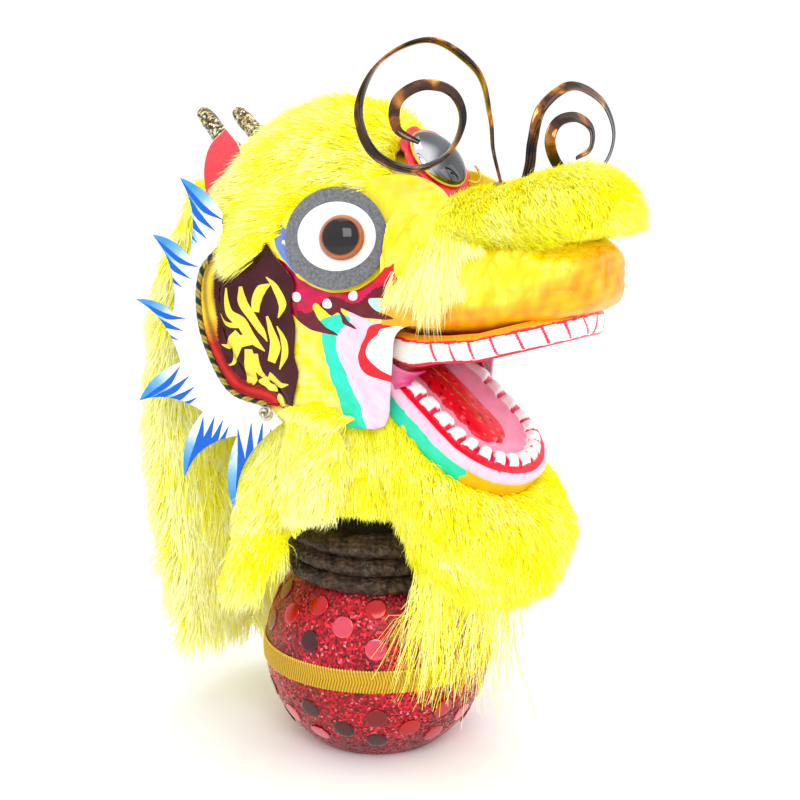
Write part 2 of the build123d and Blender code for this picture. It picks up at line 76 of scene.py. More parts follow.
# --- colours ---
BUTTER = (0.97, 0.82, 0.09)
ORANGE = (0.95, 0.40, 0.01)
RED = (0.80, 0.005, 0.015)
MAGENTA = (0.56, 0.0, 0.06)
MAROON = (0.13, 0.002, 0.012)
PALE_PINK = (0.96, 0.60, 0.76)
WHITE = (0.97, 0.97, 0.97)
TEAL = (0.02, 0.72, 0.50)


# --- camera, floor and light ---
def make_camera():
    """A 65 mm lens low on the dragon's right front."""
    azimuth, elevation, distance = math.radians(-50), math.radians(12), 0.650
    target = Vector((0.0, -0.0136, 0.162))
    back = Vector((
        math.sin(azimuth) * math.cos(elevation),
        -math.cos(azimuth) * math.cos(elevation),
        math.sin(elevation),
    ))
    camera = bpy.data.objects.new("camera", bpy.data.cameras.new("camera"))
    camera.data.lens = 65
    camera.data.sensor_width = 36
    camera.location = target + back * distance
    camera.rotation_euler = back.to_track_quat("Z", "Y").to_euler()
    bpy.context.scene.collection.objects.link(camera)
    bpy.context.scene.camera = camera


def make_stage():
    """A flat white floor, and a soft studio round it."""
    size = 6.0
    floor_mesh = bpy.data.meshes.new("floor")
    floor_mesh.from_pydata([(-size, -size, 0), (size, -size, 0), (size, size, 0), (-size, size, 0)],
                           [], [(0, 1, 2, 3)])
    floor = bpy.data.objects.new("floor", floor_mesh)
    bpy.context.scene.collection.objects.link(floor)
    floor_mesh.materials.append(paint("floor_white", (0.98, 0.98, 0.98), rough=0.9, grain=0.01))
    world = bpy.data.worlds.new("studio")
    world.use_nodes = True
    background = world.node_tree.nodes["Background"]
    background.inputs["Color"].default_value = (1.0, 1.0, 1.0, 1.0)
    background.inputs["Strength"].default_value = 1.07
    bpy.context.scene.world = world
    for name, place, power, size in (
        ("key", (-0.9, -0.9, 1.1), 9.0, 0.7),
        ("fill", (0.9, -1.0, 0.6), 2.5, 1.0),
        ("top", (0.1, 0.2, 1.5), 4.0, 0.9),
    ):
        light = bpy.data.objects.new(name, bpy.data.lights.new(name, "AREA"))
        light.data.energy = power
        light.data.size = size
        light.location = place
        light.rotation_euler = (Vector(place) - Vector((0, 0, 0.17))).to_track_quat("Z", "Y").to_euler()
        bpy.context.scene.collection.objects.link(light)
    bpy.context.scene.view_settings.view_transform = "Standard"


# --- materials ---
def new_material(name, rough=0.5, **plain):
    """A Principled material; plain sets sockets by name, with underscores for spaces."""
    material = bpy.data.materials.new(name)
    material.use_nodes = True
    shader = material.node_tree.nodes["Principled BSDF"]
    shader.inputs["Roughness"].default_value = rough
    for key, value in plain.items():
        shader.inputs[key.replace("_", " ")].default_value = value
    return material, shader


def link_bump(material, shader, height, strength, distance):
    """Feeds a height socket to the shader's normal."""
    bump = material.node_tree.nodes.new("ShaderNodeBump")
    bump.inputs["Strength"].default_value = strength
    bump.inputs["Distance"].default_value = distance
    material.node_tree.links.new(height, bump.inputs["Height"])
    material.node_tree.links.new(bump.outputs["Normal"], shader.inputs["Normal"])


def texture(material, kind, scale, **settings):
    """A texture node in object coordinates."""
    nodes, links = material.node_tree.nodes, material.node_tree.links
    place = nodes.new("ShaderNodeTexCoord")
    node = nodes.new(kind)
    node.inputs["Scale"].default_value = scale
    for key, value in settings.items():
        node.inputs[key.replace("_", " ")].default_value = value
    links.new(place.outputs["Object"], node.inputs["Vector"])
    return node


def ramp(material, source, stops):
    """A colour ramp over a value: stops of (position, colour)."""
    node = material.node_tree.nodes.new("ShaderNodeValToRGB")
    while len(node.color_ramp.elements) < len(stops):
        node.color_ramp.elements.new(0.5)
    for element, (position, colour) in zip(node.color_ramp.elements, stops):
        element.position = position
        element.color = (*colour, 1.0)
    material.node_tree.links.new(source, node.inputs["Fac"])
    return node


def colour_by(material, shader, source, stops):
    """Takes the base colour from a ramp over a value."""
    tones = ramp(material, source, stops)
    material.node_tree.links.new(tones.outputs["Color"], shader.inputs["Base Color"])


def multiplied(material, shader, first, second, factor):
    """Takes the base colour from one colour darkened by another."""
    links = material.node_tree.links
    mix = material.node_tree.nodes.new("ShaderNodeMix")
    mix.data_type = "RGBA"
    mix.blend_type = "MULTIPLY"
    mix.inputs["Factor"].default_value = factor
    links.new(first.outputs["Color"], mix.inputs["A"])
    links.new(second.outputs["Color"], mix.inputs["B"])
    links.new(mix.outputs["Result"], shader.inputs["Base Color"])


def shade(colour, factor):
    """The colour made darker or lighter."""
    return tuple(min(1.0, c * factor) for c in colour)


def paint(name, colour, rough=0.5, grain=0.12, scale=60.0, bump=0.15, **plain):
    """A colour with uneven cover and a little surface."""
    material, shader = new_material(name, rough, **plain)
    noise = texture(material, "ShaderNodeTexNoise", scale, Detail=6.0)
    colour_by(material, shader, noise.outputs["Fac"],
              [(0.3, shade(colour, 1 - grain)), (0.7, shade(colour, 1 + grain))])
    link_bump(material, shader, noise.outputs["Fac"], bump, 0.001)
    return material


def painted_material(name, rough=0.22, coat=0.6, wrinkle=0.35, scale=45.0, metallic=0.0):
    """Lacquer over hand painting: the colour comes from the mesh's own paint."""
    material, shader = new_material(name, rough, Coat_Weight=coat, Coat_Roughness=0.12, Metallic=metallic,
                                    Specular_IOR_Level=0.25)
    colours = material.node_tree.nodes.new("ShaderNodeAttribute")
    colours.attribute_name = "paint"
    noise = texture(material, "ShaderNodeTexNoise", scale * 3, Detail=5.0)
    tones = ramp(material, noise.outputs["Fac"], [(0.35, (0.72, 0.72, 0.72)), (0.6, (1.0, 1.0, 1.0))])
    multiplied(material, shader, colours, tones, 0.35)
    folds = texture(material, "ShaderNodeTexNoise", scale, Detail=8.0, Roughness=0.6, Distortion=0.6)
    link_bump(material, shader, folds.outputs["Fac"], wrinkle, 0.003)
    return material


def foil_material():
    """Mirror foil whose painted flames are dull: the paint's alpha says how metallic it is."""
    material = painted_material("temple_foil", rough=0.14, coat=0.5, wrinkle=0.25, scale=40)
    nodes, links = material.node_tree.nodes, material.node_tree.links
    colours = next(n for n in nodes if n.bl_idname == "ShaderNodeAttribute")
    links.new(colours.outputs["Alpha"], nodes["Principled BSDF"].inputs["Metallic"])
    return material


# --- numbers and lines ---
def lap(count):
    """Evenly spaced angles once round."""
    return np.linspace(0, 2 * math.pi, count, endpoint=False)


def unit(v):
    """Each row at length one."""
    return v / (np.linalg.norm(v, axis=-1, keepdims=True) + 1e-9)


def eased(t):
    """Shares from 0 to 1 that start and end gently."""
    return t * t * (3 - 2 * t)


def tree_of(points):
    """A search tree over points; flat ones lie at height 0."""
    tree = KDTree(len(points))
    for i, point in enumerate(points):
        tree.insert(point if len(point) == 3 else (*point, 0.0), i)
    tree.balance()
    return tree


def along_line(line, share):
    """Places at shares of the way along a line of even points."""
    at = np.linspace(0, 1, len(line))
    return np.stack([np.interp(share, at, line[:, k]) for k in range(line.shape[1])], -1)


def ribbon_quads(base, stations):
    """The quads of ribbons whose points run in left and right pairs from base."""
    steps = [np.array([[2 * k, 2 * k + 1, 2 * k + 3, 2 * k + 2]]) for k in range(stations - 1)]
    return np.concatenate([base + step for step in steps])


def lie(x, y, z):
    """A lie of the pile from a column of x and constant y and z."""
    return np.concatenate([x, np.full_like(x, y), np.full_like(x, z)], axis=1)


def at_corners(flat, faces):
    """Each face corner's own place, and its face's middle, of a flat mesh: y, z, middle y, middle z."""
    corner = flat[faces.reshape(-1)]
    middle = flat[faces].mean(axis=1)
    return corner[:, 0], corner[:, 1], np.repeat(middle[:, 0], 3), np.repeat(middle[:, 1], 3)


# --- meshes ---
def make_mesh(name, points, faces, materials, body, which=None, colours=None, smooth=True, domain="POINT"):
    """A mesh from numpy arrays in millimetres. faces is one array, or a list of arrays of unlike width."""
    groups = faces if isinstance(faces, list) else [faces]
    mesh = bpy.data.meshes.new(name)
    counts = np.concatenate([np.full(len(g), g.shape[1]) for g in groups])
    corners = np.concatenate([g.reshape(-1) for g in groups]).astype(np.int32)
    starts = np.concatenate([[0], np.cumsum(counts)[:-1]]).astype(np.int32)
    mesh.vertices.add(len(points))
    mesh.vertices.foreach_set("co", (np.asarray(points, float) * MM).astype(np.float32).reshape(-1))
    mesh.loops.add(len(corners))
    mesh.loops.foreach_set("vertex_index", corners)
    mesh.polygons.add(len(counts))
    mesh.polygons.foreach_set("loop_start", starts)
    for material in materials:
        mesh.materials.append(material)
    if which is not None:
        mesh.polygons.foreach_set("material_index", np.asarray(which, np.int32))
    mesh.polygons.foreach_set("use_smooth", np.full(len(counts), smooth))
    mesh.update(calc_edges=True)
    mesh.validate()
    if colours is not None:
        colours = np.asarray(colours, float)
        layer = mesh.color_attributes.new("paint", "FLOAT_COLOR", domain)
        if colours.shape[1] == 3:
            colours = np.concatenate([colours, np.ones((len(colours), 1))], axis=1)
        layer.data.foreach_set("color", colours.astype(np.float32).reshape(-1))
    piece = bpy.data.objects.new(name, mesh)
    bpy.context.scene.collection.objects.link(piece)
    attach(piece, body)
    return piece


def grid_faces(rows, columns, wrap=False):
    """Quads of a rows by columns grid of points; wrap joins the last column to the first."""
    r = np.arange(rows - 1)[:, None]
    c = np.arange(columns if wrap else columns - 1)[None, :]
    n = (c + 1) % columns
    return np.stack([r * columns + c, r * columns + n, (r + 1) * columns + n, (r + 1) * columns + c],
                    -1).reshape(-1, 4)


def thicken(piece, depth, offset=-1.0):
    """Gives a sheet its thickness, in millimetres."""
    modifier = piece.modifiers.new("thickness", "SOLIDIFY")
    modifier.thickness = depth * MM
    modifier.offset = offset


def smooth_line(points, step, closed=False):
    """A Catmull-Rom line through the points, with a point about every step."""
    p = np.asarray(points, float)
    if closed:
        p = np.concatenate([p[-1:], p, p[:2]])
    else:
        p = np.concatenate([2 * p[:1] - p[1:2], p, 2 * p[-1:] - p[-2:-1]])
    line = []
    for a, b, c, d in zip(p[:-3], p[1:-2], p[2:-1], p[3:]):
        count = max(2, int(np.linalg.norm(c - b) / step))
        t = (np.arange(count) / count)[:, None]
        line.append(0.5 * (2 * b + (c - a) * t + (2 * a - 5 * b + 4 * c - d) * t**2
                           + (3 * b - a - 3 * c + d) * t**3))
    if not closed:
        line.append(p[-2:-1])
    return np.concatenate(line)


def inside(outline, y, z):
    """True where the points lie in the closed outline."""
    hit = np.zeros(np.shape(y), bool)
    ends = np.roll(outline, -1, axis=0)
    for (ya, za), (yb, zb) in zip(outline, ends):
        crosses = (za > z) != (zb > z)
        with np.errstate(divide="ignore", invalid="ignore"):
            hit ^= crosses & (y < (yb - ya) * (z - za) / (zb - za) + ya)
    return hit


def waves(p, size, seed):
    """A smooth wandering value at each point, about -1 to 1, with features of the given size."""
    own = np.random.default_rng(seed)
    total = np.zeros(len(p))
    for _ in range(6):
        direction = own.normal(size=3)
        direction /= np.linalg.norm(direction)
        rate = 2 * math.pi / size * own.uniform(0.6, 1.6)
        total += np.sin(p @ direction * rate + own.uniform(0, 6.28))
    return total / 3.0


def cut_sheet(outline, step, lines=()):
    """Triangles that fill a flat outline, with corners about every step and edges along the closed lines
    drawn on it. Returns flat points and faces."""
    edge = np.asarray(outline, float)
    low, high = edge.min(0), edge.max(0)
    a, b = np.meshgrid(np.arange(low[0], high[0], step), np.arange(low[1], high[1], step))
    a = (a + (np.arange(len(a)) % 2)[:, None] * step / 2).ravel()
    b = b.ravel()
    keep = inside(edge, a, b)
    loops = [edge] + [np.asarray(line, float) for line in lines]
    drawn = np.concatenate(loops)
    tree = tree_of(drawn)
    spots = [(p, q) for p, q in zip(a[keep], b[keep]) if tree.find((p, q, 0.0))[2] > 0.45 * step]
    corners = [Vector(p) for p in drawn.tolist()] + [Vector(p) for p in spots]
    links = []
    first = 0
    for loop in loops:
        links += [(first + i, first + (i + 1) % len(loop)) for i in range(len(loop))]
        first += len(loop)
    points, _, faces, *_ = delaunay_2d_cdt(corners, links, [], 1, 1e-4)
    points = np.array([tuple(p) for p in points])
    faces = np.array([tuple(f) for f in faces])
    middle = points[faces].mean(axis=1)
    return points, faces[inside(edge, middle[:, 0], middle[:, 1])]


def stroke_outline(line, widths, step=0.7):
    """The closed outline of a brush stroke along a line, whose half width changes with its points."""
    path = smooth_line(line, step)
    ahead = np.gradient(path, axis=0)
    ahead /= np.linalg.norm(ahead, axis=1)[:, None]
    side = np.stack([ahead[:, 1], -ahead[:, 0]], -1)
    share = np.linspace(0, 1, len(path))
    half = np.interp(share, np.linspace(0, 1, len(widths)), widths)[:, None]
    return np.concatenate([path + side * half, (path - side * half)[::-1]])


def revolved(name, profile, frame_of, body, materials, colours=None, which=None, sides=72):
    """A profile of (radius, height) turned about a frame's normal, closed at an end of radius 0."""
    p = np.asarray(profile, float)
    turn = lap(sides)
    s = p[:, :1] * np.cos(turn)
    h = p[:, :1] * np.sin(turn)
    points = placed(frame_of, s, h, np.repeat(p[:, 1:2], sides, axis=1)).reshape(-1, 3)
    paint_on = None if colours is None else np.repeat(np.asarray(colours, float), sides, axis=0)
    slots = None if which is None else np.repeat(np.asarray(which), sides)
    return make_mesh(name, points, grid_faces(len(p), sides, wrap=True), materials, body, slots, paint_on)


def placed(frame_of, s, h, d=0.0):
    """Points at s along, h up and d out of a frame of (origin, along, up, out)."""
    origin, along, up, out = (np.asarray(v, float) for v in frame_of)
    s, h, d = np.broadcast_arrays(s, h, d)
    return origin + s[..., None] * along + h[..., None] * up + d[..., None] * out


def frame_at(origin, out, up):
    """A right-handed frame with the given outward direction and roughly the given up."""
    out = np.asarray(out, float) / np.linalg.norm(out)
    along = np.cross(up, out)
    along /= np.linalg.norm(along)
    return np.asarray(origin, float), along, np.cross(out, along), out


def tube(name, line, radius, body, materials, sides=12, closed=False, colours=None):
    """A round tube along a line. radius is a number, or an array of lengths by sides. colours too."""
    p = np.asarray(line, float)
    ahead = np.roll(p, -1, axis=0) - np.roll(p, 1, axis=0)
    if not closed:
        ahead[0], ahead[-1] = p[1] - p[0], p[-1] - p[-2]
    ahead /= np.linalg.norm(ahead, axis=1)[:, None]
    side = np.cross(ahead[0], (0.31, 0.22, 0.92))
    sides_at = []
    for direction in ahead:
        side = side - direction * (side @ direction)
        side /= np.linalg.norm(side)
        sides_at.append(side)
    side = np.array(sides_at)
    other = np.cross(ahead, side)
    turn = lap(sides)
    r = np.broadcast_to(radius, (len(p), sides))[..., None]
    spokes = np.cos(turn)[:, None] * side[:, None] + np.sin(turn)[:, None] * other[:, None]
    points = p[:, None] + r * spokes
    faces = grid_faces(len(p), sides, wrap=True)
    count = len(p) * sides
    points = points.reshape(-1, 3)
    if closed:
        c = np.arange(sides)
        n = (c + 1) % sides
        faces = np.concatenate([faces, np.stack([count - sides + c, count - sides + n, n, c], -1)])
        groups = faces
    else:
        points = np.concatenate([points, p[:1], p[-1:]])
        c = np.arange(sides)
        n = (c + 1) % sides
        start = np.stack([n, c, np.full(sides, count)], -1)
        end = np.stack([count - sides + c, count - sides + n, np.full(sides, count + 1)], -1)
        groups = [faces, np.concatenate([start, end])]
        if colours is not None:
            colours = np.concatenate([colours, colours[:1], colours[-1:]])
    return make_mesh(name, points, groups, materials, body, None, colours)


EYE_OUT = unit(np.array(EYE_AIM))


# --- the painted cheek ---
# points of the head's side, forward-back, up and out from the middle
SIDE_POINTS = np.array([
    (37.5, 232, 59.3), (44.1, 222, 62.8), (46.2, 209, 63.9), (43.8, 189.5, 62.6), (34.7, 170, 57.8),
    (19.4, 164, 50), (-33, 238, 30.5), (-15, 238, 41.5), (3, 238, 53), (-15, 217, 47.5), (-15, 258, 35),
    (9, 215, 54), (-30, 194, 40.5), (-33, 160.5, 38), (-41, 212, 41), (-13.5, 195.5, 46.5), (-23, 164, 42),
    (-1.4, 169, 48), (-45, 228, 36.5), (-62, 220, 34.5), (-62, 200, 34.5), (10, 190, 53), (-45, 196, 37.5),
    (-45, 255, 22), (-62, 250, 26), (20, 255, 50), (-48, 178, 34),
])


def plate_kernel(r):
    """The thin-plate spline's bend."""
    return np.where(r > 1e-9, r * r * np.log(np.maximum(r, 1e-9)), 0.0)


def plate_weights():
    """Weights of a thin-plate surface through the side points."""
    spots, count = SIDE_POINTS[:, :2], len(SIDE_POINTS)
    system = np.zeros((count + 3, count + 3))
    system[:count, :count] = plate_kernel(
        np.linalg.norm(spots[:, None] - spots[None], axis=2)) + 0.5 * np.eye(count)
    system[:count, count] = system[count, :count] = 1
    system[:count, count + 1:] = spots
    system[count + 1:, :count] = spots.T
    goal = np.concatenate([SIDE_POINTS[:, 2], np.zeros(3)])
    return np.linalg.solve(system, goal)


SIDE_WEIGHTS = plate_weights()


def side_out(y, z):
    """How far out from the middle the head's side lies."""
    spots = np.stack([np.ravel(y), np.ravel(z)], -1).astype(float)
    count = len(SIDE_POINTS)
    reach = plate_kernel(np.linalg.norm(spots[:, None] - SIDE_POINTS[None, :, :2], axis=2))
    return reach @ SIDE_WEIGHTS[:count] + SIDE_WEIGHTS[count] + spots @ SIDE_WEIGHTS[count + 1:]


SKIN_OUTLINE = smooth_line([
    (-64, 206), (-50, 204), (-43, 199), (-40.5, 190), (-39.5, 183), (-38.5, 173), (-37.5, 163), (-33, 158.5),
    (-19, 158), (-8, 161), (8, 158), (22, 161), (28, 168), (24, 182), (20, 200), (22, 222), (16, 240),
    (2, 254), (-14, 260), (-30, 264), (-46, 262), (-62, 252), (-66, 230),
], 0.7, closed=True)
MAGENTA_BAND = [
    (-39, 248), (-37.6, 240), (-36, 232), (-35, 225), (-28, 218.5), (-22, 216.5), (-15, 216), (-9, 217.5),
    (-2, 221), (5, 228), (12, 229), (15, 223), (12, 214), (7, 210.5), (1, 204.5), (-5, 199.5), (-12, 198.3),
    (-18, 197.5), (-13.5, 200.5), (-10, 204), (-7.5, 209), (-9.5, 211), (-15, 206), (-19, 207.5),
    (-20.5, 203), (-26, 201), (-21.5, 206), (-20, 209.5), (-24, 208), (-30, 206), (-43.5, 206.5), (-35, 210),
    (-32.5, 214), (-40, 215), (-47, 217), (-53, 219), (-46, 222), (-41, 228), (-41, 238),
]
TEAL_STRIPE = [
    (-10, 201), (-13, 205), (-20, 207), (-24, 205), (-19, 200), (-16.3, 193), (-18, 187), (-22, 177),
    (-26.5, 166), (-28, 157), (-20, 157), (-18, 166), (-14, 178), (-11, 190),
]
TEAL_FLECKS = [(-32, 214.5), (-48, 212), (-46, 209), (-38, 207), (-31, 206.5), (-30, 210)]
PINK_LIP = [
    (-24, 208), (-20, 202), (-16.5, 196), (-16.5, 189), (-19, 181), (-22.5, 172), (-27, 163), (-28, 156),
    (-42, 156), (-42, 200), (-46, 207), (-34, 205),
]
RED_CORNER = [(-34, 203.5), (-29.5, 198), (-26.5, 192.5), (-25.5, 187), (-28.5, 182), (-37, 179.5),
              (-48, 180), (-50, 203)]
CREAM_CORNER = [(-38, 202), (-35, 199), (-30.5, 195), (-28.7, 190), (-31.5, 186.5), (-37, 183),
                (-48, 181), (-50, 202)]
EYE_SPOT = [(9, 240), (7, 243), (1, 236), (-2, 230), (-1, 223), (5, 229), (9, 235)]


def circle(y, z, radius, count=22):
    """A round closed outline."""
    turn = lap(count)
    return np.stack([y + radius * np.cos(turn), z + radius * np.sin(turn)], -1)


def drawn(outline, wobble, seed, step=0.6):
    """A closed outline smoothed, with the small wobble of a hand-held brush."""
    line = smooth_line(outline, step, closed=True)
    spots = np.concatenate([line, 0 * line[:, :1]], axis=1)
    return line + wobble * np.stack([waves(spots, 9, seed), waves(spots, 9, seed + 1)], -1)


CHEEK_SHAPES = {
    "pink": drawn(PINK_LIP, 0.25, 21),
    "teal": drawn(TEAL_STRIPE, 0.35, 23),
    "flecks": drawn(TEAL_FLECKS, 0.3, 25),
    "corner": drawn(RED_CORNER, 0.2, 27),
    "cream": drawn(CREAM_CORNER, 0.2, 29),
    "band": drawn(MAGENTA_BAND, 0.12, 31, 0.45),
    "spot": drawn(EYE_SPOT, 0.1, 33),
}
CHEEK_DOTS = [circle(0, 213, 2.1), circle(-14, 211, 2.1), circle(-25, 215, 2.1), circle(13.5, 224.5, 1.6)]


def cheek_paint(y, z, over_y, over_z):
    """The colours painted on the head's side at each place; over_y and over_z say which stroke it lies in."""
    spots = np.stack([y, z, 0 * y], -1)
    tone = waves(spots, 14, 3)[:, None] * 0.5 + waves(spots, 5, 4)[:, None] * 0.5
    colours = np.array(BUTTER) + np.clip(tone, -1, 1) * np.array((0.0, 0.05, 0.16))
    near_eye = np.clip(1.4 - np.hypot(y + 15, z - 238) / 30, 0, 1)[:, None]
    colours = colours * (1 - near_eye) + np.array((0.98, 0.84, 0.01)) * near_eye
    grain = 1 + 0.07 * waves(spots, 4, 9)[:, None]

    def fill(where, colour):
        colours[where] = np.clip(np.array(colour) * grain[where], 0, 1)

    shape = {name: inside(outline, over_y, over_z) for name, outline in CHEEK_SHAPES.items()}
    fill(shape["pink"], PALE_PINK)
    fill(shape["teal"], TEAL)
    fill(shape["flecks"], (0.45, 0.85, 0.68))
    fill(shape["corner"], RED)
    fill(shape["cream"], (0.97, 0.93, 0.90))
    fill((over_y < -38) & (over_z > 203.5) & (over_z < 214), ORANGE)
    fill(shape["band"], MAGENTA)
    fill(shape["band"] & (over_z < 211.5 - 0.25 * (over_y + 15) + 2.5 * np.sin(over_y * 0.3)), MAROON)
    fill(shape["band"] & (over_y > 0), (0.34, 0.0, 0.02))
    fill(shape["band"] & (over_y < -33) & (over_z > 221), RED)
    for dot in CHEEK_DOTS:
        fill(inside(dot, over_y, over_z), WHITE)
    fill(shape["spot"], (0.16, 0.24, 0.62))
    for dot in (circle(4.5, 236, 1.2), circle(0.8, 229, 1.2)):
        fill(inside(dot, over_y, over_z), (0.95, 0.93, 0.5))
    return colours


def head_skin(side, name, material):
    """The lacquered side of the face, from the snout to the foil."""
    lines = [*CHEEK_SHAPES.values(), *CHEEK_DOTS]
    flat, faces = cut_sheet(SKIN_OUTLINE, 0.85, lines)
    y, z = flat[:, 0], flat[:, 1]
    crumple = 0.35 * waves(np.stack([y, z, 0 * y], -1), 7, 31) * np.clip((y + 40) / 20, 0, 1)
    x = side_out(y, z) + crumple
    points = np.stack([x, y, z], -1)
    reach, along = off_axis(points, EYE_CENTRE, EYE_OUT)
    dent = np.clip(along + 2.2, 0, None) * np.clip((25 - reach) / 3, 0, 1)
    points -= dent[:, None] * EYE_OUT
    points[:, 0] *= side
    if side > 0:
        faces = faces[:, ::-1]
    colours = cheek_paint(*at_corners(flat, faces))
    piece = make_mesh(name, points, faces, [material], "head", None, colours, domain="CORNER")
    thicken(piece, 1.0, 1.0)
    return piece


CHEEK_ARC = [(19.8, 37), (28, 27), (30, 12), (26.9, -5.5), (16.6, -25), (0, -31)]
FOIL_FRONT = [(-15, -32), (-21, -16), (-20, -7), (-21.5, 5), (-19.5, 15), (-22, 24), (-15, 33),
              (-2, 44), (14, 46)]
FOIL_FLAMES = [
    ([(32.7, 215), (32.4, 209), (31, 204), (26.4, 200.8), (23.7, 196.8), (19.8, 192), (15.6, 188.6)],
     [0.4, 1.2, 2.3, 3.0, 3.1, 2.3, 0.3]),
    ([(37, 203.5), (34.7, 200.5), (31.4, 199), (27, 199.3)], [0.2, 0.8, 1.3, 1.6]),
    ([(25.8, 216), (24.7, 209.5), (21.9, 204.7), (19, 201), (15.7, 196.8), (13.9, 193)],
     [1.0, 2.6, 2.6, 2.4, 2.0, 0.2]),
    ([(11.2, 218), (16, 215), (18.4, 209.9), (18.9, 205.5)], [0.4, 2.6, 2.6, 2.1]),
    ([(27.4, 195.4), (30.7, 192.3), (34, 189.2), (37, 189.8)], [2.6, 2.6, 1.8, 0.2]),
    ([(22, 193.5), (27.8, 191.4), (30.2, 186), (33, 181.3), (35.4, 181)], [3.0, 3.0, 2.2, 1.2, 0.2]),
    ([(23.8, 188.8), (23.6, 182), (25.5, 174), (28, 170)], [2.0, 3.4, 3.0, 1.2]),
    ([(20.7, 187), (20, 180), (17, 175)], [1.6, 2.2, 0.8]),
    ([(13.5, 204), (12, 199), (10.5, 192), (13, 184)], [0.6, 1.8, 2.8, 2.0]),
    ([(13, 221), (8.5, 216.5), (6, 210), (8.5, 203.5)], [0.3, 2.0, 2.4, 0.3]),
    ([(9, 200), (6.5, 195), (6.5, 188), (9.5, 181)], [0.3, 1.8, 2.0, 0.3]),
    ([(16, 178), (11, 174), (6, 174.5)], [2.2, 2.0, 0.2]),
]
cheek_side = math.cos(FLARE), math.sin(FLARE)


def cheek_frame(side):
    """The flared plane of the cheek's foil and fin."""
    origin = np.array([side * CHEEK[0], CHEEK[1], CHEEK[2]])
    along = np.array([side * cheek_side[1], cheek_side[0], 0.0])
    out = np.array([side * cheek_side[0], -cheek_side[1], 0.0])
    return origin, along, np.array([0.0, 0.0, 1.0]), out


def foil_flat(y, z):
    """The foil's own flat coordinates of a place on the head's side."""
    return (y - CHEEK[1] + 1.3 * cheek_side[1]) / cheek_side[0], z - CHEEK[2]


def foil_panel(side, name, material):
    """The mirror-bright foil at the temple, with a rolled rim and painted flames; the rim strip's colour is a
    painted reflection.
    """
    rim = smooth_line(CHEEK_ARC, 0.7)
    front = smooth_line(FOIL_FRONT, 0.7)
    edge = np.concatenate([rim, front])
    flames = []
    for line, widths in FOIL_FLAMES:
        outline = stroke_outline(line, 0.85 * np.array(widths))
        flames.append(np.stack(foil_flat(outline[:, 0], outline[:, 1]), -1))
    flat, faces = cut_sheet(edge, 0.7, flames)
    tree = tree_of(rim)
    to_rim = np.array([tree.find((p, q, 0.0))[2] for p, q in flat])
    plane = placed(cheek_frame(side), flat[:, 0], flat[:, 1], 1.3)
    y, z = plane[:, 1], plane[:, 2]
    skin = side_out(y, z) + 0.9
    share = np.clip(to_rim / 9, 0, 1)[:, None]
    share = eased(share)
    bowed = np.stack([side * skin, y, z], -1)
    points = plane * (1 - share) + bowed * share
    points[:, 0] -= side * 1.6 * np.exp(-((to_rim - 9) / 3.0) ** 2)
    points[:, 0] += side * 0.35 * waves(points, 11, 41) * share[:, 0]
    if side > 0:
        faces = faces[:, ::-1]
    at = faces.reshape(-1)
    middle = flat[faces].mean(axis=1)
    colours = np.tile(np.array((0.055, 0.001, 0.006)), (len(at), 1))
    metal = np.full(len(at), 0.92)
    # painted reflection: the rolled rim strip shades from red below to gold above, in bright streaks
    strip = to_rim[at] < 6.5 + 1.0 * np.sin(z[at] * 0.16)
    gold = np.clip((z[at] - 190) / 12, 0, 1)[:, None]
    bright = (1 - gold) * np.array((0.62, 0.01, 0.01)) + gold * np.array((0.96, 0.62, 0.03))
    reflection_streaks = (0.75 + 0.35 * np.sin(to_rim[at] * 1.5 + z[at] * 0.12))[:, None]
    colours[strip] = np.clip(bright * reflection_streaks, 0, 1)[strip]
    for flame in flames:
        lit = np.repeat(inside(flame, middle[:, 0], middle[:, 1]), 3) & ~strip
        colours[lit] = (0.93, 0.72, 0.05)
        metal[lit] = 0.25
    colours = np.concatenate([colours, metal[:, None]], axis=1)
    piece = make_mesh(name, points, faces, [material], "head", None, colours, domain="CORNER")
    thicken(piece, 0.5, -1.0)
    return piece


# --- the fins ---
FIN_TIPS = [(39.4, 66), (51.7, 41.5), (60.3, 13), (61, -33), (42, -68), (18.9, -87)]
FIN_VALLEYS = [(34.5, 33), (42.2, 8), (39.4, -14), (29.8, -36), (14, -46)]
FIN_TOP, FIN_BOTTOM = (18.9, 51), (-7.2, -39)


def leaf_edge(start, end, bow, step=0.8):
    """A bowed line between two points; bow is how far its middle stands to the right."""
    a, b = np.asarray(start, float), np.asarray(end, float)
    count = max(3, int(np.linalg.norm(b - a) / step))
    t = np.linspace(0, 1, count, endpoint=False)[:, None]
    side = np.array([(b - a)[1], -(b - a)[0]])
    return a + (b - a) * t + side * bow * 4 * t * (1 - t)


def fin_outline():
    """The white card's edge: along the foil, then flame by flame."""
    arc = smooth_line(CHEEK_ARC, 0.8)
    corners = [FIN_TOP]
    for tip, valley in zip(FIN_TIPS, FIN_VALLEYS):
        corners += [tip, valley]
    corners += [FIN_TIPS[-1], FIN_BOTTOM]
    edge = []
    for i, (a, b) in enumerate(zip(corners[:-1], corners[1:])):
        edge.append(leaf_edge(a, b, -0.10 if i % 2 == 0 else 0.13))
    edge.append(np.array([FIN_BOTTOM]))
    return np.concatenate([arc[::-1], np.concatenate(edge)])


def fin_axes(i):
    """A flame's root, its direction with length, and the direction across it with half width."""
    bases = [np.array(FIN_TOP), *[np.array(v) for v in FIN_VALLEYS], np.array(FIN_BOTTOM)]
    above, below = bases[i], bases[i + 1]
    middle = (above + below) / 2
    axis = np.array(FIN_TIPS[i]) - middle
    across = np.array([-axis[1], axis[0]]) / np.linalg.norm(axis)
    if (above - middle) @ across < 0:
        across = -across
    return middle, axis, across * np.linalg.norm(above - below) / 2


